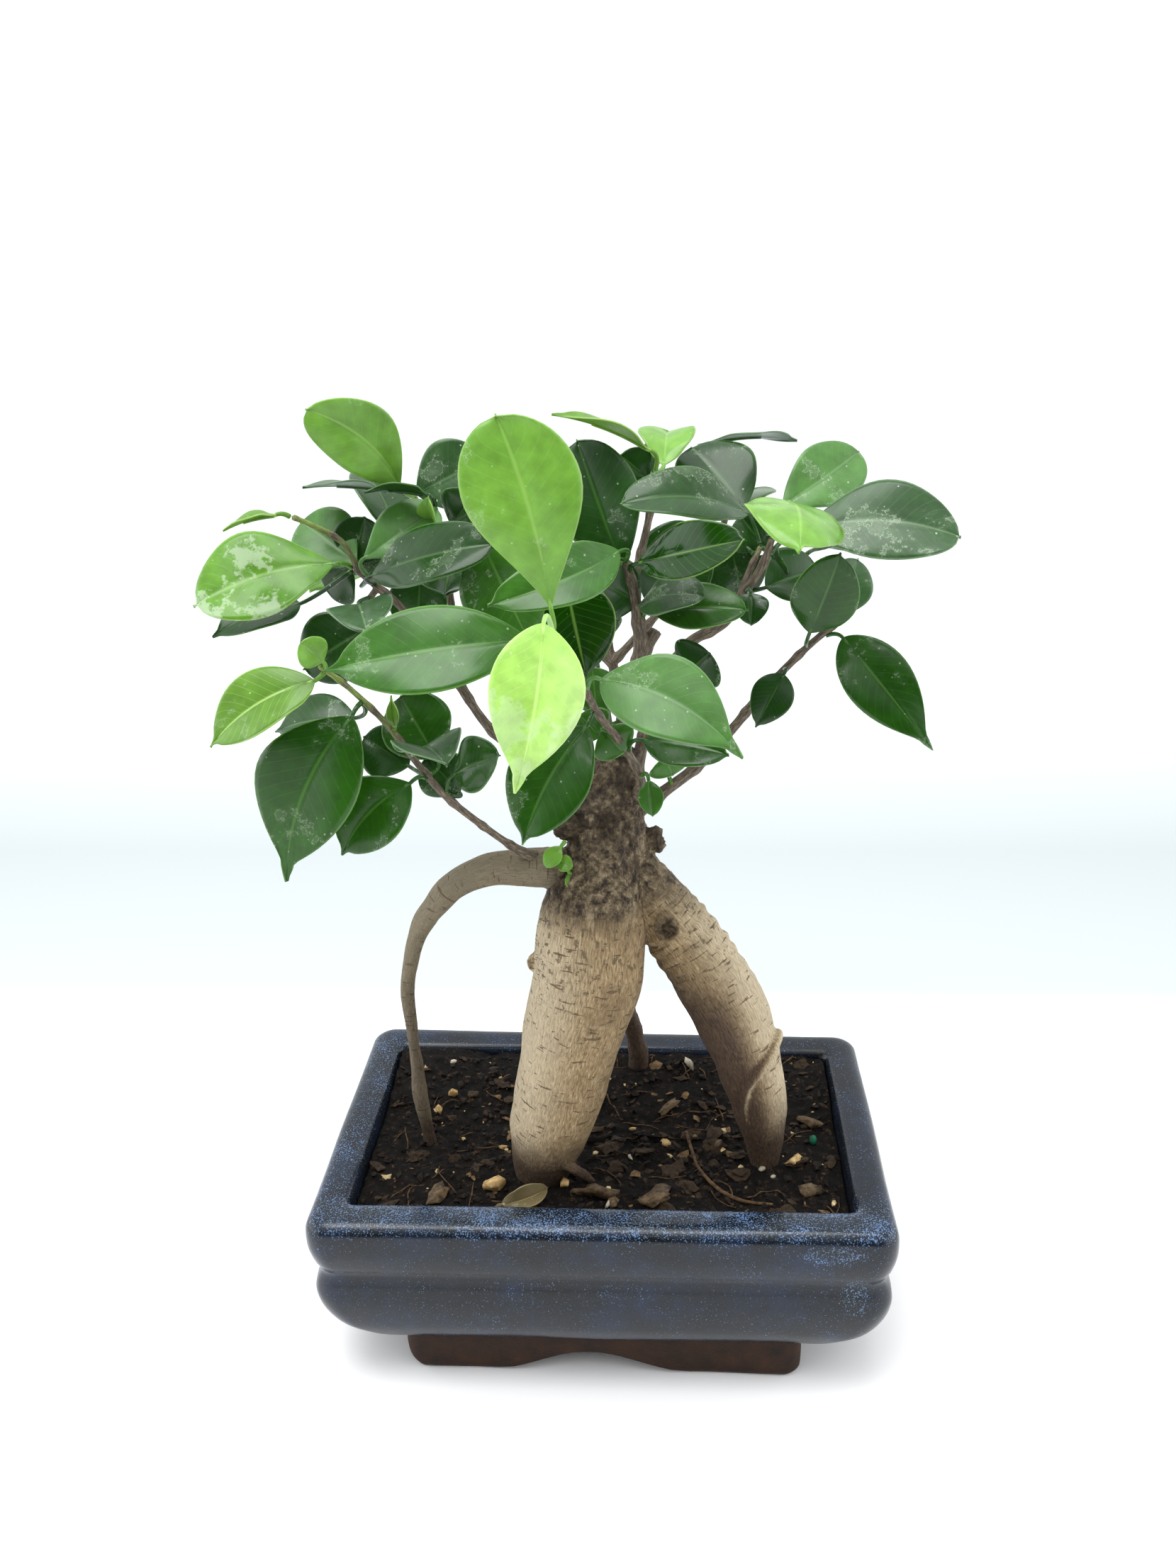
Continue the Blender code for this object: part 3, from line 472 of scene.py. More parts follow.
def bark_places(mesh, lines):
    """For each vertex: where it lies round and along its limb, in mm, and that limb's number."""
    count = len(mesh.vertices)
    points = np.empty(count * 3, np.float32)
    mesh.vertices.foreach_get("co", points)
    points = points.reshape(-1, 3)
    best = np.full(count, 1e9)
    where = np.zeros((count, 3))
    limb = np.zeros(count, int)
    for number, line in enumerate(lines):
        line = np.array(line)
        centres, radii = line[:, :3], line[:, 3]
        tangents = np.gradient(centres, axis=0)
        tangents /= np.linalg.norm(tangents, axis=1)[:, None]
        lengths = np.concatenate([[0], np.cumsum(np.linalg.norm(np.diff(centres, axis=0), axis=1))])
        ahead = np.array([0.0, -1.0, 0.02]) - tangents * (tangents @ np.array([0.0, -1.0, 0.02]))[:, None]
        ahead /= np.linalg.norm(ahead, axis=1)[:, None]
        across = np.cross(tangents, ahead)
        for start in range(0, count, 20000):
            some = slice(start, start + 20000)
            away = points[some, None, :] - centres[None]
            distance = np.linalg.norm(away, axis=2)
            nearest = np.argmin(distance - radii[None], axis=1)
            rows = np.arange(len(nearest))
            over = distance[rows, nearest] - radii[nearest]
            offset = away[rows, nearest]
            x = np.sum(offset * across[nearest], axis=1)
            y = np.sum(offset * ahead[nearest], axis=1)
            s = lengths[nearest] + np.sum(offset * tangents[nearest], axis=1)
            closer = over < best[some]
            best[some][closer] = over[closer]
            where[some][closer] = np.stack([x, y, s], axis=1)[closer]
            limb[some][closer] = number
    return points, where, limb


def step(value, low, high):
    """0 below low, 1 above high, and smooth between."""
    t = min(1.0, max(0.0, (value - low) / (high - low)))
    return t * t * (3 - 2 * t)


def write_attribute(mesh, name, kind, values):
    layer = mesh.attributes.new(name, kind, "POINT")
    layer.data.foreach_set("value" if kind == "FLOAT" else "vector",
                           np.array(values, np.float32).ravel())


limbs = [spline(knots, 1.5) for knots in
         (main_root, right_leg, aerial_root, back_root, front_rootlet, neck)]
MAIN, LEG, AERIAL, BACK, LITTLE, NECK = range(6)
stubs = [                            # pruned shoots, cut off blunt, a rootlet and a peeling scale
    [(2, -4, 147, 4.6), (-5, -6, 150, 4.0), (-10.4, -7, 151.6, 3.7)],
    [(8, -1, 144, 4.6), (13, -1, 144.6, 3.6), (16.6, -1, 145.2, 4.0)],
    [(9, 3, 140, 3.0), (13, 3, 139, 2.2), (14.8, 3, 138.6, 2.0)],
    [(47.5, -5, 86, 0.9), (48.8, -8.5, 90, 1.0), (48.6, -12.5, 91, 1.1), (46.6, -16.4, 88.5, 1.3),
     (43.0, -19.5, 84, 1.2), (40.0, -19.6, 79, 1.0), (39.3, -17.7, 71, 0.7), (40.2, -15.5, 64, 0.6)],
    [(-16.5, -17, 118.5, 0.8), (-18.2, -17, 116.5, 1.0), (-17.8, -17, 113.5, 0.7)],
]
stubs = [spline(knots, 1.5) for knots in stubs]
scars = [                            # healed rings: x, y, z, ring radius
    (3.1, -10.0, 150.5, 2.9), (4.0, -12.5, 137.3, 2.3), (18.5, -13.5, 124.6, 3.0),
    (1.6, -20.0, 129.3, 1.3), (-4.0, -9.5, 157.0, 2.0), (10.5, -9.0, 158.0, 2.2),
    (-10.8, -8.0, 151.8, 2.2), (17.0, -1.0, 145.3, 2.2), (-6.0, 8.0, 150.0, 3.0), (9.0, 9.0, 141.0, 2.6),
]
trunk_mesh = grown_together(limbs + stubs, knobs[4:], 0.54, 4)
points, where, limb = bark_places(trunk_mesh, limbs)
normals = np.empty(len(points) * 3, np.float32)
trunk_mesh.vertices.foreach_get("normal", normals)
normals = normals.reshape(-1, 3)
scar_places = np.array(scars)
cragginess, splash_and_shade_values, spottiness, hollows, side_light_values, moved = [], [], [], [], [], []
for point, (x, y, s), number, normal in zip(points, where, limb, normals):
    height = point[2]
    craggy = {MAIN: 0.95 * step(height, 121, 138), LEG: 0.65 * step(height, 118, 137),
              AERIAL: 0.8 * step(point[0], -18, -6), BACK: 0.35, LITTLE: 0.5,
              NECK: step(height, 121, 134)}[number]
    spotty = {MAIN: 0.15 + 0.85 * step(height, 92, 122), LEG: 0.2 + 0.6 * step(height, 108, 124),
              AERIAL: 0.3}.get(number, 0.5)
    wet_and_shade = 1.0 - step(height + 1.5 * noise.noise(Vector(point) / 6), SOIL_TOP + 2.0,
                     SOIL_TOP + {MAIN: 24.0, LEG: 34.0}.get(number, 20.0))
    if number == LEG:                # painted shade: the leg's underside, where the light does not reach, is browned like the damp base, partly real dirt
        underside_shade = step(-normal[0] - 0.3 * normal[2] - 0.4 * normal[1], -0.5, 0.65)
        wet_and_shade = max(wet_and_shade, 0.85 * underside_shade * (1 - step(height, 98, 122)))
    wet_and_shade = max(wet_and_shade, {AERIAL: 0.45 * (1 - step(height, 90, 128)),
                    BACK: 0.8 * (1 - step(height, 84, 106))}.get(number, 0.0))
    fibre = noise.noise(Vector((x * 1.3, y * 1.3, s * 0.16)))
    dimple = noise.noise(Vector(point) * 0.11)
    ridge = noise.ridged_multi_fractal(Vector((x * 0.24, y * 0.24, s * 0.17 + 40 * number)), 0.9, 2.2, 4, 1.0, 2.0) - 1.1
    crumble = noise.noise(Vector(point) * 1.1)
    rings = math.sin(s * 1.55 + 4 * noise.noise(Vector((x, y, s)) * 0.10)) if number == LEG else 0.0
    ringed = 0.30 * rings * step(height, 100, 117) * (1 - step(height, 124, 134))
    push = 0.13 * fibre * (1 - craggy) + 0.6 * dimple + ringed
    push += craggy * (0.62 * ridge + 0.30 * crumble)
    from_scars = np.linalg.norm(scar_places[:, :3] - point, axis=1)
    nearest = int(np.argmin(from_scars / scar_places[:, 3]))
    reach, radius = from_scars[nearest], scar_places[nearest, 3]
    lip = math.exp(-((reach - radius) / 0.55) ** 2)
    push += 1.0 * lip - 1.1 * math.exp(-(reach / (0.55 * radius)) ** 2)
    moved.append(Vector(point) + Vector(normal) * push)
    cragginess.append(max(craggy, 0.8 * math.exp(-(reach / (1.3 * radius)) ** 4)))
    hollows.append(craggy * (0.5 - 0.5 * ridge - 0.5 * crumble) + 0.65 * math.exp(-(reach / (0.6 * radius)) ** 2)
                   + 0.45 * step(height, 140, 152)
                   + 0.5 * max(0.0, -rings) * (ringed != 0.0))
    # Painted light: the main root's flank facing left and the leg's flank facing right are paled where the side light
    # falls.
    facing = {MAIN: -normal[0] - 0.15 * normal[1], LEG: normal[0] + 0.3 * normal[2]}.get(number, 0.0)
    side_light_values.append(0.75 * step(facing, -0.15, 1.0) * (1 - wet_and_shade) * (1 - craggy))
    splash_and_shade_values.append(wet_and_shade)
    spottiness.append(spotty)
for vert, place in zip(trunk_mesh.vertices, moved):
    vert.co = place
write_attribute(trunk_mesh, "bark_place", "FLOAT_VECTOR", where)
write_attribute(trunk_mesh, "craggy", "FLOAT", cragginess)
write_attribute(trunk_mesh, "damp_and_shade", "FLOAT", splash_and_shade_values)
write_attribute(trunk_mesh, "spotty", "FLOAT", spottiness)
write_attribute(trunk_mesh, "hollow", "FLOAT", hollows)
write_attribute(trunk_mesh, "painted_side_light", "FLOAT", side_light_values)
write_attribute(trunk_mesh, "grey", "FLOAT", [0.7 if n == AERIAL else 0.3 if n == BACK else 0.0 for n in limb])

# Ficus bark: a thin fibrous tan skin with corky dashes across it, 2 to 4 mm wide, that turns
# dark and cracked with age, and brown where wet soil splashes it. Painted light pales the
# flanks that face the side light, and painted shade browns the leg's underside.
bark, tree, shader = new_material("ficus_bark")
place = add(tree, "Attribute", attribute_name="bark_place").outputs["Vector"]
solid = add(tree, "TexCoord").outputs["Object"]
craggy, damp_and_shade, grey, spotty, hollow, painted_side_light = (
    add(tree, "Attribute", attribute_name=name).outputs["Fac"]
    for name in ("craggy", "damp_and_shade", "grey", "spotty", "hollow", "painted_side_light"))
along = add(tree, "Mapping", {"Vector": place, "Scale": (1.5, 1.5, 0.30)}).outputs[0]
fibres = add(tree, "TexNoise", {"Vector": along, "Scale": 1.7, "Detail": 5.0, "Roughness": 0.65}).outputs[0]
skin = add(tree, "ValToRGB", {0: fibres}, stops=[
    (0.32, linear("6B5235")), (0.42, linear("9A8059")), (0.54, linear("B69C74")),
    (0.68, linear("D6C29A"))]).outputs[0]
clouds = add(tree, "TexNoise", {"Vector": solid, "Scale": 90.0, "Detail": 8.0, "Roughness": 0.75}).outputs[0]
cloudy = add(tree, "MapRange", {"Value": clouds, "From Min": 0.46, "From Max": 0.64, "To Max": 0.75}).outputs[0]
skin = add(tree, "Mix", {0: cloudy, 6: skin, 7: linear("87704C")}, data_type="RGBA").outputs[2]
# Painted light: pale cream bark on the flanks that face the side light.
pale = add(tree, "Math", {0: painted_side_light, 1: fibres}, operation="MULTIPLY").outputs[0]
pale = add(tree, "MapRange", {"Value": pale, "To Max": 1.6}).outputs[0]
skin = add(tree, "Mix", {0: pale, 6: skin, 7: linear("EFDFBE")}, data_type="RGBA").outputs[2]
skin = add(tree, "Mix", {0: grey, 6: skin, 7: linear("857F6B")}, data_type="RGBA").outputs[2]
# Corky dashes across the limb.
across = add(tree, "Mapping", {"Vector": place, "Scale": (0.20, 0.20, 1.25)}).outputs[0]
dashes = add(tree, "TexNoise", {"Vector": across, "Scale": 1.0, "Detail": 3.0, "Roughness": 0.55}).outputs[0]
dash = add(tree, "MapRange", {"Value": dashes, "From Min": 0.625, "From Max": 0.66, "To Max": 0.85}).outputs[0]
skin = add(tree, "Mix", {0: dash, 6: skin, 7: linear("6B5335")}, data_type="RGBA").outputs[2]
# Dark corky dots, 1 to 2 mm, that crowd toward the neck.
squat = add(tree, "Mapping", {"Vector": place, "Scale": (0.62, 0.62, 0.50)}).outputs[0]
dots = add(tree, "TexNoise", {"Vector": squat, "Scale": 1.0, "Detail": 4.0, "Roughness": 0.6}).outputs[0]
least = add(tree, "MapRange", {"Value": spotty, "To Min": 0.72, "To Max": 0.575}).outputs[0]
inside = add(tree, "Math", {0: dots, 1: least}, operation="SUBTRACT").outputs[0]
dot = add(tree, "MapRange", {"Value": inside, "From Min": 0.0, "From Max": 0.04, "To Max": 0.68}).outputs[0]
skin = add(tree, "Mix", {0: dot, 6: skin, 7: linear("5D482B")}, data_type="RGBA").outputs[2]
# Old bark: grey-tan plates with near-black cracks between them.
upright = add(tree, "Mapping", {"Vector": place, "Scale": (0.42, 0.42, 0.34)}).outputs[0]
flakes = add(tree, "TexNoise", {"Vector": upright, "Scale": 1.0, "Detail": 9.0, "Roughness": 0.78}).outputs[0]
old = add(tree, "ValToRGB", {0: flakes}, stops=[
    (0.41, linear("20150C")), (0.46, linear("55432D")), (0.53, linear("7F6D50")),
    (0.63, linear("B8A685"))]).outputs[0]
aged = add(tree, "Math", {0: clouds, 1: 0.5, 2: craggy}, operation="MULTIPLY_ADD").outputs[0]
aged = add(tree, "MapRange", {"Value": aged, "From Min": 0.55, "From Max": 0.95}).outputs[0]
skin = add(tree, "Mix", {0: aged, 6: skin, 7: old}, data_type="RGBA").outputs[2]
deep = add(tree, "MapRange", {"Value": hollow, "From Min": 0.55, "From Max": 1.2, "To Max": 0.75}).outputs[0]
skin = add(tree, "Mix", {0: deep, 6: skin, 7: linear("2A1D10")}, data_type="RGBA").outputs[2]
# Brown where wet soil splashes the bark, and painted shade browning the leg's underside.
dampness_and_shade = add(tree, "Math", {0: clouds, 1: 0.25, 2: damp_and_shade}, operation="MULTIPLY_ADD").outputs[0]
wet_and_shade = add(tree, "MapRange", {"Value": dampness_and_shade, "From Min": 0.25, "From Max": 0.95, "To Max": 0.92}).outputs[0]
soaked_and_shaded_tint = add(tree, "ValToRGB", {0: fibres}, stops=[
    (0.35, linear("2A1B10")), (0.65, linear("5E4430"))]).outputs[0]
skin = add(tree, "Mix", {0: wet_and_shade, 6: skin, 7: soaked_and_shaded_tint}, data_type="RGBA").outputs[2]
tree.links.new(skin, shader.inputs["Base Color"])
shader.inputs["Roughness"].default_value = 0.72
relief = add(tree, "Math", {0: dash, 1: 0.6, 2: fibres}, operation="MULTIPLY_ADD").outputs[0]
relief = add(tree, "Math", {0: flakes, 1: aged, 2: relief}, operation="MULTIPLY_ADD").outputs[0]
relief = add(tree, "Math", {0: dot, 1: 0.4, 2: relief}, operation="MULTIPLY_ADD").outputs[0]
bump = add(tree, "Bump", {"Strength": 1.0, "Distance": 0.0014, "Height": relief}).outputs[0]
tree.links.new(bump, shader.inputs["Normal"])
finish_mesh("trunk_and_roots_bark", trunk_mesh, [bark], "trunk_bark", "trunk_and_roots")

# ---------------------------------------------------------------- the soil
# Potting mix fills the pot to below its rim: dark peat and composted bark, coarse on top,
# with bark chips, tan grit, root fibres, one dry leaf skeleton and a ball of slow fertiliser.
def ground_height(x, y):
    """The soil's surface at a place, in mm: crumbs on gentle humps."""
    place = Vector((x, y, 0))
    heap = 4.2 * step(y, 2, 36) + 1.2 * step(-x, 20, 70)
    return (SOIL_TOP + 0.6 + heap + 1.2 * noise.noise(place / 17) + 0.9 * noise.noise(place / 5)
            + 0.7 * noise.noise(place / 1.9))


rings = [(17.8, L - 27.0, W - 22.0, 12.0), (19.3, L - 19.8, W - 16.8, 10.0),
         (23.3, L - 14.6, W - 13.0, 8.0), (30.3, L - 11.5, W - 10.8, 6.0),
         (SOIL_TOP - 1.5, L - 10.5, W - 9.9, 3.2)]
half_length, half_width = L - 10.5, W - 9.9
for inset in np.arange(0.5, half_width - 0.5, 0.9):
    rings.append((SOIL_TOP, half_length - inset, half_width - inset,
                  max(0.4, min(3.0, half_width - inset - 0.05))))
soil_shape = loft(rings, along=(110, 60))
for vert in soil_shape.verts:
    if vert.co.z > SOIL_TOP - 1.0:
        vert.co.z = ground_height(vert.co.x, vert.co.y)
    vert.co = pressed(vert.co)

earth, tree, shader = new_material("peat_potting_mix")
place = add(tree, "TexCoord").outputs["Object"]
crumbs = add(tree, "TexNoise", {"Vector": place, "Scale": 480.0, "Detail": 8.0, "Roughness": 0.8}).outputs[0]
tint = add(tree, "ValToRGB", {0: crumbs}, stops=[
    (0.42, linear("050403")), (0.54, linear("120D09")), (0.61, linear("32241A")), (0.68, linear("7C6345"))]).outputs[0]
tree.links.new(tint, shader.inputs["Base Color"])
shader.inputs["Roughness"].default_value = 0.85
shader.inputs["Specular IOR Level"].default_value = 0.2
bump = add(tree, "Bump", {"Strength": 1.0, "Distance": 0.0012, "Height": crumbs}).outputs[0]
tree.links.new(bump, shader.inputs["Normal"])
finish("soil_surface", soil_shape, [earth], "potting_soil", "soil")

scatter = random.Random(7)


def on_the_soil():
    """A free place on the soil, clear of the roots: x, y."""
    while True:
        x = scatter.uniform(-half_length + 1.5, half_length - 1.5)
        y = scatter.uniform(-half_width + 1.5, half_width - 1.5)
        clear = all(math.hypot(x - rx, y - ry) > r for rx, ry, r in
                    ((-18, -15, 9.5), (46, -9, 5.5), (-52, -2, 2.4), (9, 36, 3.6)))
        if clear:
            return x, y


def lump(shape, x, y, size, flatness, jag, lift=0.35):
    """A broken crumb: a low-count ball, squashed, turned and dented."""
    ball = bmesh.ops.create_icosphere(shape, subdivisions=2 if size > 2.5 or jag < 0.5 else 1, radius=1.0)["verts"]
    seed = Vector((scatter.uniform(0, 99), scatter.uniform(0, 99), 0))
    for vert in ball:
        vert.co *= 1.0 + jag * noise.noise(vert.co * 1.3 + seed)
    turn = (Matrix.Rotation(scatter.uniform(0, math.tau), 3, "Z")
            @ Matrix.Rotation(scatter.gauss(0, 0.35), 3, "X"))
    grow = Matrix.Diagonal((size, size * scatter.uniform(0.45, 0.9), size * flatness))
    bmesh.ops.transform(shape, verts=ball, matrix=(turn @ grow).to_4x4())
    bmesh.ops.translate(shape, verts=ball, vec=(x, y, ground_height(x, y) + size * flatness * lift))


def plain_material(name, dark, light, scale, roughness):
    """A rough natural stuff of two mixed shades; scale is how many patches fit in a metre."""
    material, tree, shader = new_material(name)
    place = add(tree, "TexCoord").outputs["Object"]
    mottle = add(tree, "TexNoise", {"Vector": place, "Scale": scale, "Detail": 5.0, "Roughness": 0.65}).outputs[0]
    tint = add(tree, "ValToRGB", {0: mottle}, stops=[(0.35, linear(dark)), (0.65, linear(light))]).outputs[0]
    tree.links.new(tint, shader.inputs["Base Color"])
    shader.inputs["Roughness"].default_value = roughness
    shader.inputs["Specular IOR Level"].default_value = 0.25
    bump = add(tree, "Bump", {"Strength": 0.6, "Distance": 0.0003, "Height": mottle}).outputs[0]
    tree.links.new(bump, shader.inputs["Normal"])
    return material


for name, stuff, dark, light, count, sizes, flatness, jag in (
        ("soil_peat_crumbs", "peat_crumb", "080604", "231A13", 950, (0.4, 1.5), 0.7, 0.9),
        ("soil_bark_chips", "composted_pine_bark", "17110B", "3E2E1C", 300, (0.6, 3.4), 0.28, 1.1),
        ("soil_wood_slivers", "dry_pine_bark", "3E2D1A", "7C6342", 90, (0.5, 2.4), 0.20, 1.1),
        ("soil_tan_grit", "clay_grit", "9A7F52", "D9C79A", 70, (0.35, 1.3), 0.7, 0.9)):
    shape = bmesh.new()
    for _ in range(count):
        x, y = on_the_soil()
        size = sizes[0] + (sizes[1] - sizes[0]) * scatter.random() ** 2.6
        lump(shape, x, y, size, flatness, jag)
    for edge in shape.edges:
        edge.smooth = edge.calc_face_angle(0.0) < 0.4
    finish(name, shape, [plain_material(stuff, dark, light, 900.0, 0.8)], "potting_soil")

# Single bits big enough to know again: tan stones, bark flakes, perlite and the fertiliser ball.
for name, stuff, dark, light, bits in (
        ("soil_tan_stones", "sandy_stone", "8A6A3E", "D6B880", (
            (-31, -22.5, 3.0, 0.7), (-10.5, -22.7, 2.0, 0.8), (54.5, -10.4, 2.8, 0.5), (-48, 17.4, 1.7, 0.8),
            (-51.4, 11.3, 1.6, 0.8), (17.5, -2, 1.8, 0.5), (-30, -5, 1.3, 0.6), (7.7, 4.7, 1.1, 0.8))),
        ("soil_bark_flakes", "weathered_pine_bark", "2A2015", "6E5A40", (
            (-2, -24.3, 6.0, 0.3), (14.8, -27, 4.4, 0.22), (18.3, 14.3, 4.2, 0.25), (33.3, -1.6, 2.2, 0.5),
            (-46, -26.6, 5.0, 0.25), (3, -28.4, 2.4, 0.5), (61, 8, 3.4, 0.4), (58, -22, 3.2, 0.3))),
        ("soil_perlite", "perlite", "8C8472", "D2C9B4", (
            (25, 32.7, 2.3, 0.7), (45, -13.8, 1.6, 0.6), (48, -17, 0.9, 0.7), (7.5, -9, 0.9, 0.8),
            (2, -29.5, 1.4, 0.7), (-50, 32.9, 1.0, 0.7))),
        ("soil_fertiliser_ball", "coated_fertiliser", "0B4A35", "146A4C", ((60.7, -1.0, 1.5, 1.0),))):
    shape = bmesh.new()
    for x, y, size, flatness in bits:
        lump(shape, x, y, size, flatness, 0.15 if flatness == 1.0 else 0.9, lift=0.7)
    finish(name, shape, [plain_material(stuff, dark, light, 500.0, 0.6)], "potting_soil")


# Root fibres and straws: thin, brown, half buried and curling out of the mix.
shape = bmesh.new()
for _ in range(60):
    x, y = on_the_soil()
    heading, length = scatter.uniform(0, math.tau), scatter.uniform(4, 15)
    path = []
    for i in range(6):
        t = i / 5
        heading += scatter.gauss(0, 0.25)
        x = max(-half_length + 1, min(half_length - 1, x + math.cos(heading) * length / 5))
        y = max(-half_width + 1, min(half_width - 1, y + math.sin(heading) * length / 5))
        path.append((x, y, ground_height(x, y) + 0.5 * math.sin(math.pi * t) + scatter.gauss(0, 0.15),
                     0.13 + 0.15 * scatter.random()))
    limb_mesh(shape, spline(path, 2.5), sides=4)
long_twig = [(23.8, 3.7, 0.45), (25.5, -5, 0.5), (27.5, -13.6, 0.5), (32.5, -22.5, 0.55), (39, -26.5, 0.5), (47, -28.5, 0.4)]
limb_mesh(shape, spline([(x, y, ground_height(x, y) + 0.9, r) for x, y, r in long_twig], 1.5), sides=8)
finish("soil_root_fibres", shape, [plain_material("dry_root_fibre", "2A1D12", "6B5136", 700.0, 0.8)],
       "potting_soil")

# ---------------------------------------------------------------- branches
# Young shoots from the neck, grey-brown and finely wrinkled, with a slight swelling at each
# node and a green tip that is still soft.
BRANCHES = {
    "branch_left_upper": [
        [(-3, -3, 160, 2.4), (-12, -10, 170, 1.8), (-22, -16, 178, 1.5), (-29, -18, 188, 1.3),
         (-33, -16, 198, 1.2), (-34, -10, 210, 1.1), (-37, -2, 221, 1.1), (-42, 6, 231, 1.0),
         (-45, 8, 235, 0.8)],
        [(-30, -18, 190, 1.2), (-38, -17, 201, 1.1), (-45, -14, 211, 1.1), (-52, -12, 217, 1.1),
         (-57, -11, 221, 1.0)],
        [(-52, -12, 216, 1.0), (-55, -11, 212, 1.0), (-56, -10, 207, 1.0)],
        [(-56, -11, 220, 0.9), (-58, -16, 228, 0.9), (-63, -21, 233, 0.8), (-67, -25, 236, 0.7)],
    ],
    "branch_front": [
        [(10, -3, 158, 2.2), (12, -12, 166, 1.4), (8, -20, 178, 1.2), (3, -28, 188, 1.1),
         (0, -38, 198, 1.1), (-3, -49, 208, 1.0), (-5, -57, 216, 0.9)],
    ],
    "branch_centre": [
        [(4, 1, 164, 2.6), (3, 2, 172, 2.3), (2, 3, 180, 2.1), (1, 3, 187, 1.8)],
        [(6, -1, 165, 2.6), (7, -4, 178, 2.2), (10, -7, 190, 2.1), (12, -9, 200, 2.0),
         (11, -10, 212, 1.7), (9, -13, 222, 1.3)],
        [(10, -8, 192, 2.0), (13, -8, 199, 2.0), (16, -8, 204, 1.9)],
        [(10, -10, 214, 1.4), (14, -3, 229, 1.1), (16, 3, 240, 0.9)],
    ],
    "branch_right_upper": [
        [(10, 2, 162, 2.4), (13, 4, 174, 1.9), (18, 3, 187, 1.8), (24, 1, 198, 1.7),
         (33, -1, 204, 1.5), (38, -2, 212, 1.4), (42, -4, 219, 1.2), (44, -6, 226, 1.0)],
        [(36, -2, 209, 1.1), (39, 2, 216, 1.0), (42, 4, 222, 0.9)],
    ],
    "branch_right_lower": [
        [(10, 0, 152, 2.6), (18, 1, 158, 1.9), (27, 2, 165, 1.7), (36, 3, 175, 1.5),
         (42, 3, 183, 1.3), (50, 3, 192, 1.2), (56, 3, 198, 1.1), (63, 3, 204, 1.1)],
    ],
    "branch_left_lower": [
        [(-16, -10, 143, 2.2), (-22, -18, 151, 1.2), (-29, -26, 161, 1.1), (-35, -32, 170, 1.1),
         (-40, -37, 180, 1.0), (-46, -40, 191, 0.9), (-53, -44, 201, 0.8), (-58, -48, 207, 0.7)],
    ],
    "branch_back": [
        [(6, 4, 158, 2.4), (7, 14, 168, 1.8), (5, 22, 180, 1.7), (2, 27, 192, 1.5),
         (-3, 31, 204, 1.3), (-6, 33, 216, 1.1)],
        [(4, 24, 186, 1.4), (-10, 29, 196, 1.2), (-24, 28, 205, 1.1), (-38, 25, 211, 1.0),
         (-50, 21, 217, 0.9)],
        [(4, 24, 187, 1.4), (14, 28, 197, 1.3), (23, 29, 207, 1.2), (31, 27, 218, 1.0),
         (34, 26, 226, 0.9), (32, 27, 236, 0.8)],
        [(20, 29, 204, 1.1), (34, 26, 209, 1.1), (46, 21, 213, 1.0), (54, 17, 217, 0.9)],
    ],
}
shoot, tree, shader = new_material("ficus_shoot_bark")
place = add(tree, "Attribute", attribute_name="bark_place").outputs["Vector"]
green = add(tree, "Attribute", attribute_name="green").outputs["Fac"]
along = add(tree, "Mapping", {"Vector": place, "Scale": (1.6, 1.6, 0.25)}).outputs[0]
wrinkles = add(tree, "TexNoise", {"Vector": along, "Scale": 1.5, "Detail": 5.0, "Roughness": 0.7}).outputs[0]
brown = add(tree, "ValToRGB", {0: wrinkles}, stops=[
    (0.34, linear("2E271D")), (0.5, linear("56493A")), (0.68, linear("857A66"))]).outputs[0]
fresh = add(tree, "ValToRGB", {0: wrinkles}, stops=[
    (0.35, linear("5A6B2C")), (0.65, linear("8AA04C"))]).outputs[0]
skin = add(tree, "Mix", {0: green, 6: brown, 7: fresh}, data_type="RGBA").outputs[2]
tree.links.new(skin, shader.inputs["Base Color"])
shader.inputs["Roughness"].default_value = 0.65
bump = add(tree, "Bump", {"Strength": 0.6, "Distance": 0.0003, "Height": wrinkles}).outputs[0]
tree.links.new(bump, shader.inputs["Normal"])

twigs = {}
for name, knots in BRANCHES.items():
    lines = [spline(limb, 0.8) for limb in knots]
    twigs[name] = [[Vector(point) for point in spline(limb, 2.5)] for limb in knots]
    for line in lines:               # nodes: a slight swelling every 9 to 12 mm
        since = scatter.uniform(2, 8)
        for point in line:
            since += 0.8
            if since > 11:
                since = scatter.uniform(-1, 2)
            point[3] *= 0.86 + 0.22 * math.exp(-(since - 5) ** 2 / 1.6)
    branch_mesh = grown_together(lines, [], 0.36, 3)
    points, where, limb = bark_places(branch_mesh, lines)
    tender = []
    for point, (x, y, s), number in zip(points, where, limb):
        line = lines[number]
        radius = line[min(len(line) - 1, max(0, round(s / 0.8)))][3]
        tender.append(1.0 - step(radius, 0.62, 0.90))
    write_attribute(branch_mesh, "bark_place", "FLOAT_VECTOR", where)
    write_attribute(branch_mesh, "green", "FLOAT", tender)
    finish_mesh(name + "_bark", branch_mesh, [shoot], "young_stem", name)
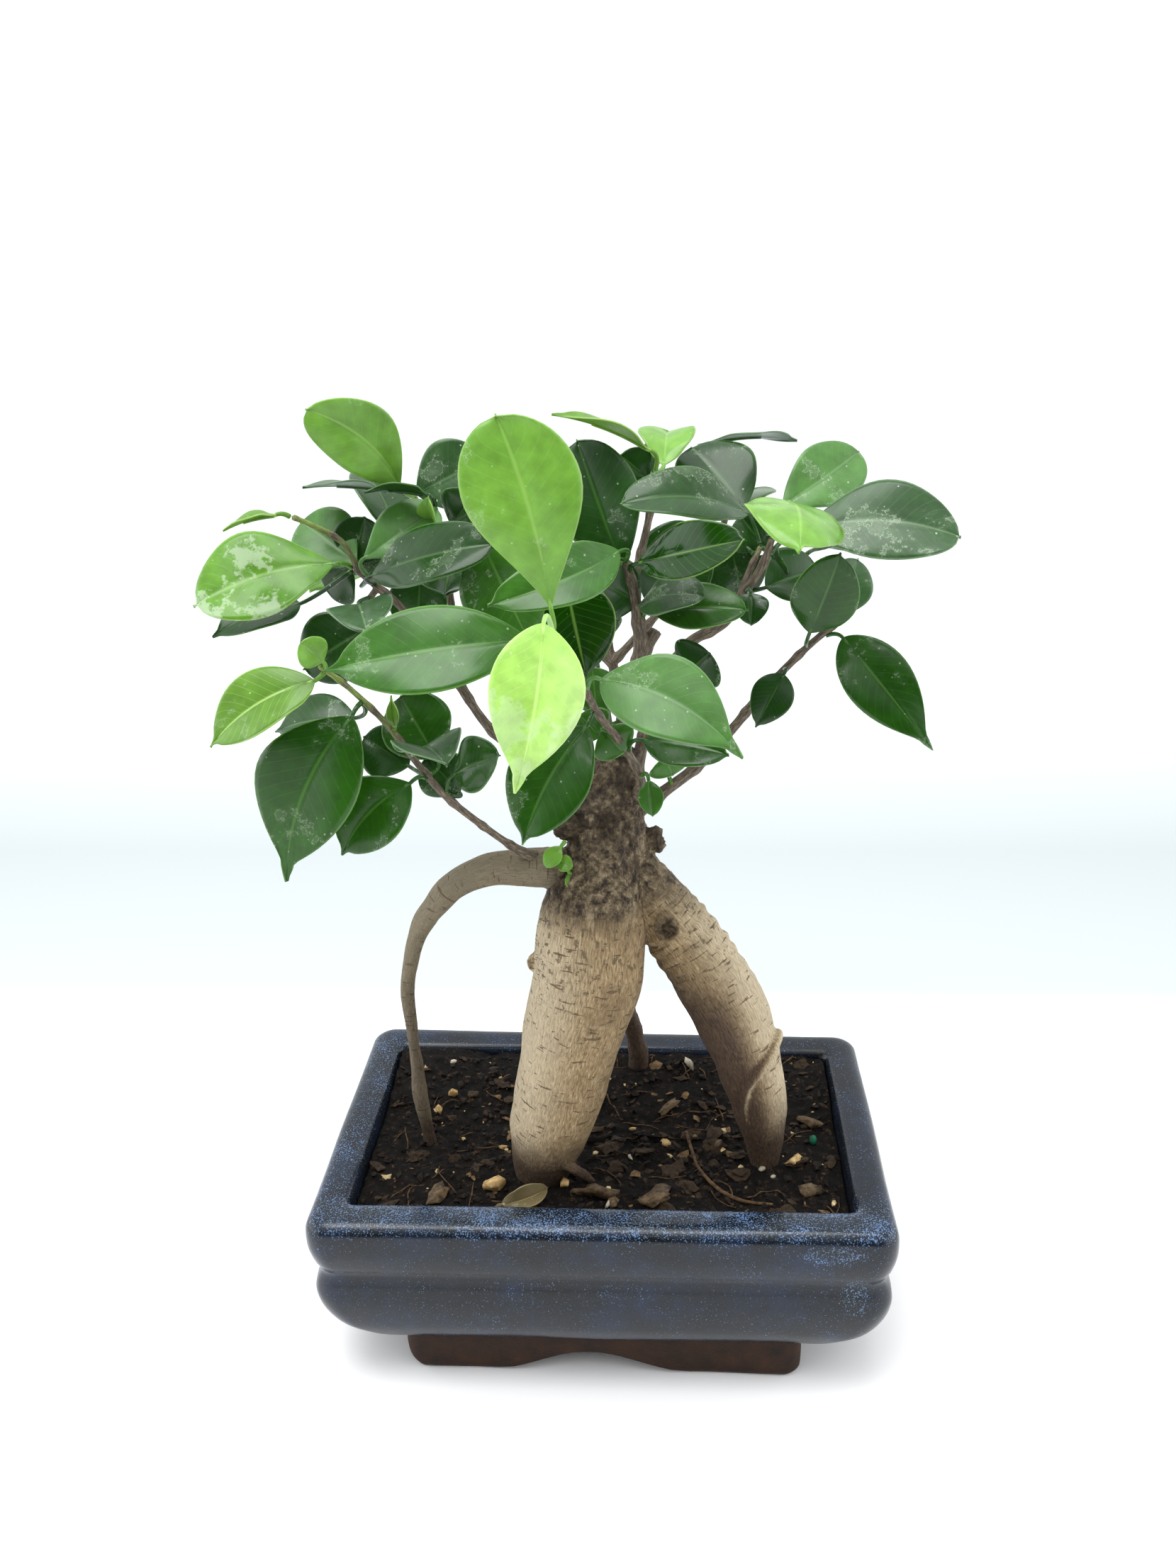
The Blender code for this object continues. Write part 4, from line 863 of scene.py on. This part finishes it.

# ---------------------------------------------------------------- leaves
# Oval leathery blades on short stalks, 20 to 45 mm long, glossy above and dull below. Each
# row is one leaf, in mm: where its stalk meets the twig, the blade's base, its tip, its width,
# the way its upper face looks, how far it arches and sways as parts of its length, its fold
# along the midrib in degrees, where it is widest, how drawn-out its tip is, and its age.
YOUNG, LIME, FRESH, DEEP, DUSTY = "young", "lime", "fresh", "deep", "dusty"
LEAVES = {
    "branch_left_upper": [
        ("top_left_bright", (-45, 6, 235), (-46, -4, 239), (-64, -16, 259), 17,
         (-.1, -.93, .35), .06, .12, 12, .55, .1, YOUNG),
        ("top_left_edge", (-45, 7, 234), (-50, 5, 237), (-71, 0, 239), 16,
         (-.05, .13, .99), .04, 0, 12, .5, .3, DUSTY),
        ("left_twig_tip", (-67, -25, 236), (-70, -27, 237), (-82, -30, 234), 9,
         (-.2, 0, .98), .05, 0, 20, .5, .8, LIME),
        ("left_big_bright", (-57, -12, 221), (-61, -15, 223), (-92, -28, 216), 24,
         (-.18, -.78, .6), .06, .04, 12, .55, .2, YOUNG),
        ("left_grey_back", (-56, -9, 219), (-59, -1, 220), (-75, 9, 229), 18,
         (0, -.8, .6), .06, 0, 10, .55, .2, DUSTY),
        ("left_dusty_up", (-54, -12, 219), (-54, -14, 224), (-37, -4, 234), 15,
         (-.15, -.85, .5), .10, .06, 14, .58, .1, DUSTY),
        ("left_dark_wide", (-51, -12, 217), (-51, -20, 221), (-20, -30, 230), 17,
         (0, -.72, .7), .06, 0, 12, .5, .1, DEEP),
        ("back_dark_up_left", (-43, 7, 232), (-45, 12, 235), (-27, 16, 243), 19,
         (-.1, -.97, .2), .06, 0, 10, .52, .2, DEEP),
        ("left_dusty_front", (-54, -12, 214), (-55, -19, 214), (-48, -42, 213), 16,
         (0, -.4, .92), .08, 0, 14, .45, .2, DUSTY),
        ("left_dark_low", (-53, -11, 209), (-54, -14, 207), (-71, -16, 197), 19,
         (-.1, -.9, .42), .06, 0, 12, .5, .25, DEEP),
    ],
    "branch_front": [
        ("centre_big_bright", (-5, -57, 216), (-5, -60, 222), (-15, -57, 261), 25,
         (-.05, -.98, .22), .05, .04, 14, .64, .10, YOUNG),
        ("front_variegated", (-5, -57, 216), (-6, -67, 221), (-12, -79, 189), 20,
         (0, -.93, .37), .06, -.04, 12, .45, .8, LIME),
        ("front_left_long", (-4, -53, 213), (-11, -50, 213), (-55, -55, 208), 21,
         (0, -.78, .62), .05, 0, 10, .5, .5, FRESH),
        ("front_right_pointed", (0, -38, 198), (4, -43, 202), (35, -56, 188), 20,
         (.1, -.82, .57), .06, -.08, 10, .45, .8, FRESH),
        ("front_low_left", (2, -31, 191), (0, -34, 188), (-15, -46, 163), 20,
         (-.15, -.94, .3), .05, .05, 12, .5, .5, FRESH),
        ("low_right_under", (9, -19, 176), (13, -27, 182), (33, -35, 181), 14,
         (0, -.65, .76), .06, 0, 12, .5, .3, FRESH),
    ],
    "branch_centre": [
        ("centre_glossy", (9, -13, 221), (8, -30, 228), (-20, -47, 220), 15,
         (.1, -.75, .65), .08, -.08, 16, .45, .3, YOUNG),
        ("centre_dark_up", (10, -11, 216), (8, -7, 219), (-3, 2, 249), 22,
         (-.12, -.97, .2), .05, 0, 12, .55, .15, DEEP),
        ("centre_drop", (9, -13, 221), (-5, -24, 222), (0, -31, 199), 20,
         (0, -.97, .2), .05, 0, 12, .5, .4, FRESH),
        ("top_lime", (16, 3, 240), (15, 2, 246), (-8, -8, 256), 12,
         (-.1, -.1, .98), .05, 0, 24, .5, .7, LIME),
        ("top_folded", (16, 3, 240), (18, 6, 242), (19, 24, 248), 16,
         (0, -.8, .6), .10, 0, 26, .55, .2, YOUNG),
        ("centre_right_glossy", (10, -13, 220), (12, -19, 223), (36, -34, 231), 14,
         (.1, -.85, .5), .06, .02, 16, .5, .15, YOUNG),
        ("centre_right_back", (12, -9, 202), (14, 2, 208), (26, 10, 227), 21,
         (.25, -.95, .2), .05, 0, 12, .5, .2, DEEP),
        ("mid_flat_right", (11, -10, 207), (15, -12, 210), (38, -17, 211), 13,
         (0, -.72, .7), .06, 0, 12, .5, .2, FRESH),
    ],
    "branch_right_upper": [
        ("top_dark_round", (42, 4, 221), (38, 8, 231), (25, 24, 244), 21,
         (.05, -.82, .57), .06, 0, 10, .5, .1, DEEP),
        ("top_arched", (43, -6, 225), (38, -7, 232), (8, -21, 237), 17,
         (0, -.62, .78), .12, 0, 16, .5, .15, DEEP),
        ("right_hanging_dark", (41, 3, 221), (35, 12, 221), (38, 11, 207), 15,
         (0, -.97, .1), .06, 0, 12, .5, .2, DEEP),
        ("right_light_folded", (44, -6, 226), (47, -16, 236), (47, -43, 230), 24,
         (.25, -.6, .75), .12, 0, -12, .42, .35, YOUNG),
        ("right_up_green", (44, -5, 225), (47, 4, 232), (67, 18, 243), 17,
         (.1, -.84, .55), .06, .03, 10, .55, .1, FRESH),
        ("right_far", (43, -4, 221), (52, -7, 228), (87, -14, 227), 21,
         (.08, -.78, .62), .06, -.06, 10, .5, .1, DUSTY),
        ("right_dark_mid", (38, -2, 212), (43, -2, 213), (57, 8, 215), 17,
         (0, -.82, .57), .06, 0, 12, .5, .2, DEEP),
    ],
    "branch_right_lower": [
        ("right_hanging_round", (54, 3, 196), (54, -4, 202), (60, -10, 223), 17,
         (0, -.99, .1), .05, 0, 14, .5, .25, DEEP),
        ("right_crinkled", (59, 3, 200), (62, 10, 203), (68, 17, 216), 13,
         (.2, -.96, .2), .06, 0, 12, .5, .2, DUSTY),
        ("right_low_drop", (59, 3, 199), (63, 2, 199), (85, -10, 173), 17,
         (-.1, -.92, .38), .06, 0, 12, .42, .8, DEEP),
    ],
    "branch_left_lower": [
        ("left_low_light", (-57, -47, 206), (-59, -49, 204), (-83, -53, 190), 17,
         (-.2, -.72, .67), .08, .05, 14, .48, .5, YOUNG),
        ("left_low_big", (-50, -42, 196), (-52, -47, 195), (-70, -51, 156), 25,
         (-.1, -.95, .3), .04, .08, 10, .48, .8, DEEP),
        ("left_low_mid", (-38, -35, 176), (-41, -42, 177), (-58, -45, 160), 18,
         (-.1, -.93, .35), .05, .08, 12, .5, .5, DEEP),
        ("left_low_round", (-38, -35, 176), (-37, -28, 178), (-46, -22, 192), 18,
         (0, -.93, .37), .05, 0, 10, .5, .1, DEEP),
        ("left_low_folded", (-41, -37, 182), (-38, -43, 186), (-29, -60, 188), 18,
         (.1, -.35, .93), .08, 0, 28, .4, .3, DUSTY),
    ],
    "branch_back": [
        ("top_right_edge", (32, 27, 236), (28, 29, 244), (53, 34, 244), 19,
         (0, .2, .98), .06, 0, 8, .45, .5, DUSTY),
        ("behind_big", (-5, 32, 214), (-9, 38, 217), (-24, 48, 243), 23,
         (-.1, .95, .3), .06, 0, 10, .5, .3, DEEP),
        ("behind_left_long", (-16, 29, 200), (-24, 32, 196), (-54, 44, 186), 20,
         (-.1, .75, .65), .08, 0, 12, .5, .4, FRESH),
        ("behind_front_right", (5, 22, 180), (12, 24, 178), (35, 36, 165), 19,
         (.2, .8, .55), .08, 0, 12, .45, .6, DEEP),
        ("behind_arched", (23, 29, 207), (25, 36, 209), (33, 64, 211), 20,
         (.1, .3, .95), .12, 0, 12, .5, .3, FRESH),
        ("behind_far_right", (53, 17, 217), (58, 20, 218), (82, 34, 215), 20,
         (.2, .6, .8), .08, 0, 10, .5, .2, DEEP),
        ("behind_left_big", (-49, 21, 216), (-55, 23, 216), (-82, 36, 205), 21,
         (-.2, .6, .75), .08, 0, 12, .5, .35, YOUNG),
        ("behind_mid", (-24, 28, 205), (-26, 35, 208), (-36, 62, 208), 19,
         (-.1, .3, .95), .12, 0, 12, .5, .4, FRESH),
        ("behind_top_left", (-50, 21, 217), (-54, 25, 223), (-66, 44, 237), 18,
         (-.3, .6, .75), .08, 0, 12, .5, .2, DEEP),
        ("behind_round", (34, 26, 226), (37, 31, 226), (41, 53, 228), 20,
         (.1, .8, .6), .06, 0, 12, .5, .2, FRESH),
        ("behind_top", (-6, 33, 216), (-3, 38, 220), (10, 58, 234), 20,
         (.1, .6, .8), .08, 0, 12, .5, .3, YOUNG),
    ],
}
SMALL_LEAVES = {
    "branch_left_upper": [
        ("small_top_left", (-38, -8, 236), (-39, -8, 238), (-52, -16, 240), 12,
         (0, .2, .98), .05, 0, 20, .5, .5, DEEP),
        ("small_back_left", (-36, 2, 228), (-35, 2, 229), (-27, 0, 236), 15,
         (.1, -.95, .3), .05, 0, 24, .5, .2, DEEP),
        ("small_left_tip_under", (-69, -8, 214), (-72, -9, 212), (-92, -18, 206), 15,
         (-.3, -.6, .74), .08, 0, 14, .45, .6, DEEP),
        ("small_mid_left_hanging", (-44, 6, 217), (-44, 6, 217), (-46, 4, 199), 16,
         (0, -.97, .2), .06, 0, 14, .45, .4, DEEP),
        ("small_mid_left_under", (-34, -3, 221), (-34, -3, 221), (-34, -20, 216), 17,
         (0, -.6, .8), .06, 0, 12, .5, .3, DEEP),
        ("small_curl", (-37, -4, 228), (-37, -6, 230), (-38, -10, 238), 7,
         (-.5, -.8, .2), .12, 0, 30, .5, .4, YOUNG),
        ("small_behind_stem", (-57, -11, 219), (-60, 2, 220), (-57, 4, 231), 14,
         (0, -.95, .3), .05, 0, 12, .5, .2, DEEP),
        ("small_under_left", (-57, -11, 219), (-62, 6, 218), (-70, 8, 212), 16,
         (0, -.95, .3), .05, 0, 12, .5, .2, DEEP),
        ("small_right_of_stem", (-54, -12, 218), (-58, 3, 215), (-51, 5, 223), 13,
         (0, -.95, .3), .05, 0, 12, .5, .2, DEEP),
    ],
    "branch_centre": [
        ("small_centre_low", (11, -10, 208), (12, -9, 211), (-2, -16, 221), 16,
         (-.2, -.9, .35), .05, 0, 12, .5, .3, DEEP),
        ("small_mid_arched", (11, -10, 208), (12, -11, 211), (28, -20, 215), 14,
         (0, -.6, .8), .12, 0, 12, .5, .2, DUSTY),
        ("small_back_drop", (9, -13, 221), (-24, -23, 230), (-13, -30, 207), 21,
         (0, -.97, .2), .05, 0, 12, .5, .4, FRESH),
        ("small_thin_back", (16, 3, 240), (14, 12, 238), (7, 12, 244), 11,
         (0, -.95, .3), .05, 0, 12, .5, .2, DEEP),
        ("small_grey_back", (16, 3, 240), (15, 20, 238), (10, 24, 243), 16,
         (0, -.95, .3), .05, 0, 12, .5, .2, DUSTY),
        ("small_above_stem", (12, -9, 196), (23, -20, 196), (29, -18, 201), 15,
         (0, -.9, .4), .05, 0, 12, .5, .2, DEEP),
        ("small_behind_main", (6, -1, 178), (1, -10, 183), (0, -8, 195), 14,
         (0, -.95, .3), .05, 0, 12, .5, .2, FRESH),
        ("small_grey_tip", (2, 3, 186), (0, 18, 202), (3, 20, 195), 11,
         (0, -.95, .3), .05, 0, 12, .5, .4, DUSTY),
    ],
    "branch_front": [
        ("small_centre_a", (9, -18, 174), (2, -16, 179), (-3, -16, 185), 12,
         (0, -.9, .4), .05, 0, 12, .5, .2, FRESH),
        ("small_centre_b", (6, -23, 182), (3, -22, 183), (8, -22, 177), 12,
         (0, -.9, .4), .05, 0, 12, .5, .2, FRESH),
        ("small_twig_end", (12, -13, 167), (14, -20, 169), (15, -24, 161), 6.5,
         (.1, -.9, .3), .06, 0, 14, .5, .3, FRESH),
    ],
    "branch_right_upper": [
        ("small_right", (38, -2, 212), (39, -8, 213), (39, -12, 206), 9,
         (0, -.9, .43), .06, 0, 16, .4, .3, DEEP),
        ("small_petiole_leaf", (42, 4, 221), (46, 3, 220), (44, 4, 215), 9,
         (0, -.9, .43), .05, 0, 12, .5, .2, DEEP),
        ("small_dark_by_stem", (42, 4, 221), (43, 7, 221), (37, 9, 229), 14,
         (0, -.95, .3), .05, 0, 12, .5, .2, DEEP),
    ],
    "branch_right_lower": [
        ("small_right_low", (48, 3, 190), (48, -3, 191), (41, -6, 178), 11,
         (-.1, -.97, .2), .05, 0, 12, .42, .5, DEEP),
        ("small_low_hidden", (18, 1, 160), (18, -14, 173), (20, -14, 168), 11,
         (0, -.9, .4), .05, 0, 12, .5, .3, FRESH),
    ],
    "branch_left_lower": [
        ("small_left_bud", (-57, -47, 206), (-57, -48, 208), (-61, -50, 213), 8,
         (0, -.8, .6), .06, 0, 14, .5, .1, YOUNG),
        ("small_left_grey", (-50, -42, 196), (-54, -36, 191), (-74, -34, 187), 16,
         (-.2, -.5, .84), .08, 0, 10, .5, .6, DUSTY),
        ("small_left_right", (-35, -32, 170), (-32, -34, 176), (-20, -40, 183), 14,
         (0, -.8, .6), .05, 0, 12, .5, .2, DEEP),
        ("small_left_dark", (-38, -35, 176), (-44, -28, 176), (-55, -26, 183), 14,
         (0, -.9, .4), .05, 0, 12, .5, .2, DEEP),
        ("small_left_dark_b", (-35, -32, 170), (-32, -28, 169), (-40, -26, 178), 13,
         (0, -.9, .4), .05, 0, 12, .5, .2, DEEP),
        ("small_left_spear", (-45, -40, 189), (-44, -40, 190), (-44, -41, 198), 3.4,
         (0, -.95, .3), .05, 0, 30, .5, .9, LIME),
    ],
    "neck": [
        ("small_sprout_a", (-8, -12, 149), (-9, -13, 148), (-13, -15, 143), 5,
         (-.2, -.9, .4), .08, 0, 12, .5, .2, YOUNG),
        ("small_sprout_b", (-9, -12, 145), (-10, -13, 144), (-6, -15, 143), 4.6,
         (.2, -.9, .4), .08, 0, 12, .5, .2, YOUNG),
        ("small_sprout_c", (-8, -13, 142), (-7, -14, 141), (-5, -16, 137), 4.5,
         (.2, -.9, .4), .08, 0, 12, .5, .2, YOUNG),
    ],
}
STALK_GAP = 0.95                     # from a twig's mean radius to the foot of a stalk
BLADE_THICKNESS = 0.35
BLADE_ROWS, BLADE_COLUMNS = 28, 16


def half_blade(t, width, widest, point):
    """Half the blade's width at t: rounded, with a drip tip where point says so."""
    drip = 0.14 * point
    body = t / (1 - drip)
    round_part = 0.0
    if 0 < body < 1:
        swell_at = body ** (math.log(0.5) / math.log(widest))
        power = 0.78 if body < widest else 0.42 + 0.40 * point
        round_part = max(0.0, math.sin(math.pi * swell_at)) ** power
    tail = 0.20 * point * max(0.0, 1 - t) / max(drip, 0.02) if t > 0.6 else 0.0
    tail = min(tail, 0.17)
    return 0.5 * width * math.hypot(round_part, tail * step(t, 0.7, 0.95))


def stalk_foot(lines, stalk, base):
    """The point just clear of the bark where a stalk leaves its twig for the blade's base."""
    nearest = min((point for line in lines for point in line),
                  key=lambda point: (point.xyz - stalk).length)
    outward = (base - nearest.xyz).normalized()
    return nearest.xyz + outward * (nearest.w + STALK_GAP - 0.9)


def leaf_shape(lines, stalk, base, tip, width, face, bow, sway, fold, widest, point):
    """A blade bent to its pose and thickened, on a round stalk that runs on as the midrib."""
    base, tip = Vector(base), Vector(tip)
    start = stalk_foot(lines, Vector(stalk), base) if lines else Vector(stalk)
    chord = tip - base
    length = chord.length
    along = chord.normalized()
    upward = Vector(face)
    upward = (upward - along * upward.dot(along)).normalized()
    side = along.cross(upward)
    own = noise.noise(base / 3.0) * 10

    def spine(t):
        belly = length * 4 * t * (1 - t)
        return base + chord * t + upward * bow * belly + side * sway * belly

    shape = bmesh.new()
    bmesh.ops.create_grid(shape, x_segments=BLADE_COLUMNS, y_segments=BLADE_ROWS, size=1.0)
    uv = shape.loops.layers.uv.new("UVMap")
    for corner in (loop for f in shape.faces for loop in f.loops):
        x, y = corner.vert.co.xy
        corner[uv].uv = (0.5 + 0.5 * x, 0.5 - 0.5 * math.cos(math.pi * (y + 1) / 2))
    for vert in shape.verts:
        across, t = vert.co.x, 0.5 - 0.5 * math.cos(math.pi * (vert.co.y + 1) / 2)
        half = max(0.25 if t < 0.5 else 0.06, half_blade(t, width, widest, point))
        lift = math.radians(fold) * min(1.0, 4 * t)
        out = abs(across)
        wave = 0.030 * width * math.sin(8 * t + own + 1.7 * across) * out * out
        height = half * (0.85 * math.sin(lift) * out - 0.05 * out ** 4) + wave
        vein = -0.025 * math.cos(math.tau * (11 * t - 2.6 * out)) * out * (1 - out) * width / 20
        vert.co = (spine(t) + side * (half * across * math.cos(lift))
                   + upward * (height * min(1.0, 5 * t) + vein - 0.15 * math.exp(-(out / 0.10) ** 2)))
    blade = applied(shape, ("SOLIDIFY", {"thickness": BLADE_THICKNESS, "offset": 0.0,
                                         "material_offset": 1, "material_offset_rim": 2}))
    shape = bmesh.new()
    shape.from_mesh(blade)
    done = set(shape.faces)
    turn = base - along * min(0.5 * (base - start).length, 4.0)
    path = []
    for i in range(8):
        t = i / 7
        centre = start * (1 - t) ** 2 + turn * 2 * t * (1 - t) + base * t * t
        path.append((*centre, 0.62 - 0.14 * t))
    for i in range(1, 9):
        t = 0.62 * i / 8
        path.append((*(spine(t) - upward * (0.30 + 0.1 * t)), 0.48 * (1 - t) ** 0.8))
    limb_mesh(shape, path, sides=8)
    for f in shape.faces:
        if f not in done:
            f.material_index = 3
    return shape


# finish: upper hex, its variation, lower face hex, vein strength, roughness, dust, lime stain
TONES = {
    YOUNG: ("70A03C", "5C8C2E", "8DB35E", 0.42, 0.24, 0.30, 0.0),
    LIME: ("5E8A24", "4E781A", "A8CC70", 0.60, 0.30, 0.30, 0.0),
    FRESH: ("3B6B22", "2D5818", "6F9A4C", 0.34, 0.24, 0.35, 0.0),
    DEEP: ("1F4414", "16360D", "57803F", 0.28, 0.22, 0.35, 0.0),
    DUSTY: ("3A5C33", "2D4C27", "7C9870", 0.34, 0.28, 0.60, 0.0),
    # Painted sheen: a paler green standing for the soft gloss of light on these leaves, over their real lime dust.
    "hazy": ("52803C", "44702F", "7C9870", 0.34, 0.32, 0.45, 0.0),
    "warm": ("234F0C", "1A4207", "5F8A42", 0.30, 0.22, 0.30, 0.0),
    "glossy": ("123C02", "0C2E01", "7FA64E", 0.35, 0.13, 0.15, 0.0),
    "stained": ("5C8E22", "4A7C18", "8DB35E", 0.42, 0.26, 0.30, 1.0),
    "variegated": ("BCDC8E", "98C858", "C4E08C", 0.50, 0.30, 0.30, 0.6),
    "dry": ("6E6140", "4A4028", "A4946A", 0.90, 0.65, 0.40, 0.0),
}
FINISHES = {"centre_right_glossy": "glossy", "centre_drop": "glossy", "left_big_bright": "stained",
            "front_variegated": "variegated", "centre_glossy": FRESH, "left_low_light": LIME,
            "back_dark_up_left": DUSTY}
FINISHES.update(dict.fromkeys(("left_low_big", "left_low_mid", "left_low_round", "small_left_right",
                               "right_low_drop", "right_hanging_round", "low_right_under",
                               "front_low_left"), "warm"))
# These leaves take the paler tone with painted sheen, along with real dust.
FINISHES.update(dict.fromkeys(("left_dusty_up", "left_grey_back", "front_right_pointed",
                               "right_up_green"), "hazy"))
leaf_materials = {}
stalk_skin, tree, shader = new_material("ficus_leaf_stalk")
place = add(tree, "TexCoord").outputs["Object"]
mottle = add(tree, "TexNoise", {"Vector": place, "Scale": 500.0, "Detail": 3.0}).outputs[0]
tint = add(tree, "ValToRGB", {0: mottle}, stops=[(0.3, linear("6E8F3C")), (0.7, linear("9DBB60"))]).outputs[0]
tree.links.new(tint, shader.inputs["Base Color"])
shader.inputs["Roughness"].default_value = 0.45
for age, (main, other, below, veining, smooth, dusting, staining) in TONES.items():
    upper, tree, shader = new_material("ficus_leaf_" + age + "_upper")
    solid = add(tree, "TexCoord").outputs["Object"]
    on_leaf = add(tree, "UVMap", uv_map="UVMap").outputs[0]
    split = add(tree, "SeparateXYZ", {0: on_leaf})
    centred = add(tree, "Math", {0: split.outputs["X"], 1: 0.5}, operation="SUBTRACT").outputs[0]
    size = add(tree, "Math", {0: centred}, operation="ABSOLUTE").outputs[0]
    out = add(tree, "Math", {0: size, 1: 2.0}, operation="MULTIPLY").outputs[0]
    slow = add(tree, "TexNoise", {"Vector": solid, "Scale": 28.0, "Detail": 2.0}).outputs[0]
    blend = add(tree, "MapRange", {"Value": slow, "From Min": 0.35, "From Max": 0.65}).outputs[0]
    flesh = add(tree, "Mix", {0: blend, 6: linear(main), 7: linear(other)}, data_type="RGBA").outputs[2]
    fine = add(tree, "TexNoise", {"Vector": solid, "Scale": 260.0, "Detail": 4.0}).outputs[0]
    mottled = add(tree, "MapRange", {"Value": fine, "From Min": 0.3, "From Max": 0.7,
                                     "To Min": 0.82, "To Max": 1.18}).outputs[0]
    flesh = add(tree, "VectorMath", {0: flesh, "Scale": mottled}, operation="SCALE").outputs[0]
    # Pale midrib, fine side veins that lean toward the tip, and a thin pale margin.
    rib = add(tree, "MapRange", {"Value": out, "From Min": 0.012, "From Max": 0.055,
                                 "To Min": veining, "To Max": 0.0}).outputs[0]
    lean = add(tree, "Math", {0: out, 1: -0.22, 2: split.outputs["Y"]}, operation="MULTIPLY_ADD").outputs[0]
    beat = add(tree, "Math", {0: lean, 1: math.tau * 13}, operation="MULTIPLY").outputs[0]
    wave = add(tree, "Math", {0: beat}, operation="COSINE").outputs[0]
    veins = add(tree, "MapRange", {"Value": wave, "From Min": 0.90, "From Max": 1.0,
                                   "To Max": 0.22 * veining}).outputs[0]
    margin = add(tree, "MapRange", {"Value": out, "From Min": 0.955, "From Max": 0.985,
                                    "To Max": 0.5}).outputs[0]
    marks = add(tree, "Math", {0: rib, 1: veins}, operation="MAXIMUM").outputs[0]
    marks = add(tree, "Math", {0: marks, 1: margin}, operation="MAXIMUM").outputs[0]
    flesh = add(tree, "Mix", {0: marks, 6: flesh, 7: linear(below, 1.15)}, data_type="RGBA").outputs[2]
    # Lime dust: dried drops about 0.5 mm across on a few spots, and wavy tide lines.
    cells = add(tree, "TexVoronoi", {"Vector": solid, "Scale": 620.0})
    chance = add(tree, "SeparateColor", {0: cells.outputs["Color"]}).outputs[0]
    reach = add(tree, "MapRange", {"Value": chance, "From Min": 0.62, "From Max": 1.0, "To Max": 0.20}).outputs[0]
    inside = add(tree, "Math", {0: reach, 1: cells.outputs["Distance"]}, operation="SUBTRACT").outputs[0]
    spots = add(tree, "MapRange", {"Value": inside, "From Min": 0.0, "From Max": 0.06}).outputs[0]
    cloud = add(tree, "TexNoise", {"Vector": solid, "Scale": 75.0, "Detail": 6.0, "Roughness": 0.7}).outputs[0]
    tide = add(tree, "Math", {0: cloud, 1: 0.61, 2: 0.006}, operation="COMPARE").outputs[0]
    film = add(tree, "MapRange", {"Value": cloud, "From Min": 0.55, "From Max": 0.80,
                                  "To Max": 0.40}).outputs[0]
    marked = add(tree, "Math", {0: tide, 1: 0.5, 2: film}, operation="MULTIPLY_ADD").outputs[0]
    dust = add(tree, "Math", {0: spots, 1: marked}, operation="MAXIMUM").outputs[0]
    dust = add(tree, "Math", {0: dust, 1: dusting}, operation="MULTIPLY").outputs[0]
    toward_tip = add(tree, "MapRange", {"Value": split.outputs["Y"], "From Min": 0.25, "From Max": 0.7,
                                        "To Min": 0.62, "To Max": 0.46}).outputs[0]
    beyond = add(tree, "Math", {0: cloud, 1: toward_tip}, operation="SUBTRACT").outputs[0]
    stain = add(tree, "MapRange", {"Value": beyond, "From Min": 0.0, "From Max": 0.03,
                                   "To Max": 0.40 * staining}).outputs[0]
    dust = add(tree, "Math", {0: dust, 1: stain}, operation="MAXIMUM").outputs[0]
    flesh = add(tree, "Mix", {0: dust, 6: flesh, 7: linear("C9D8BE")}, data_type="RGBA").outputs[2]
    tree.links.new(flesh, shader.inputs["Base Color"])
    rough = add(tree, "Math", {0: dust, 1: 0.5, 2: smooth}, operation="MULTIPLY_ADD").outputs[0]
    tree.links.new(rough, shader.inputs["Roughness"])
    shader.inputs["Specular IOR Level"].default_value = 0.36
    dents = add(tree, "Math", {0: fine, 1: 0.5, 2: marks}, operation="MULTIPLY_ADD").outputs[0]
    bump = add(tree, "Bump", {"Strength": 0.25, "Distance": 0.0003, "Height": dents}).outputs[0]
    tree.links.new(bump, shader.inputs["Normal"])

    lower, tree, shader = new_material("ficus_leaf_" + age + "_lower")
    solid = add(tree, "TexCoord").outputs["Object"]
    fine = add(tree, "TexNoise", {"Vector": solid, "Scale": 260.0, "Detail": 4.0}).outputs[0]
    tint = add(tree, "ValToRGB", {0: fine}, stops=[
        (0.3, linear(below, 0.8)), (0.7, linear(below, 1.1))]).outputs[0]
    tree.links.new(tint, shader.inputs["Base Color"])
    shader.inputs["Roughness"].default_value = 0.6

    rim, tree, shader = new_material("ficus_leaf_" + age + "_margin")
    tint = add(tree, "Mix", {0: 0.45, 6: linear(main), 7: linear("C9DBA0")}, data_type="RGBA").outputs[2]
    tree.links.new(tint, shader.inputs["Base Color"])
    shader.inputs["Roughness"].default_value = 0.45
    leaf_materials[age] = [upper, lower, rim, stalk_skin]

for rows_of, is_cad in ((LEAVES, True), (SMALL_LEAVES, False)):
    for branch_name, rows in rows_of.items():
        for name, *shape_values, age in rows:
            lines = twigs.get(branch_name)
            shape = leaf_shape(lines, *shape_values)
            nodes = ["leaf_" + name] if is_cad else []
            finish(name + "_leaf", shape, leaf_materials[FINISHES.get(name, age)], "leaf_" + age, *nodes)

# One shed leaf lies dry and curled on the soil in front of the main root.
shape = leaf_shape(None, (-29, -34, 49), (-27, -32.5, 49.5), (-15, -25.5, 50), 9, (.3, -.5, .8), .16, .1, 48,
                   .5, .3)
finish("soil_shed_leaf", shape, leaf_materials["dry"], "potting_soil")
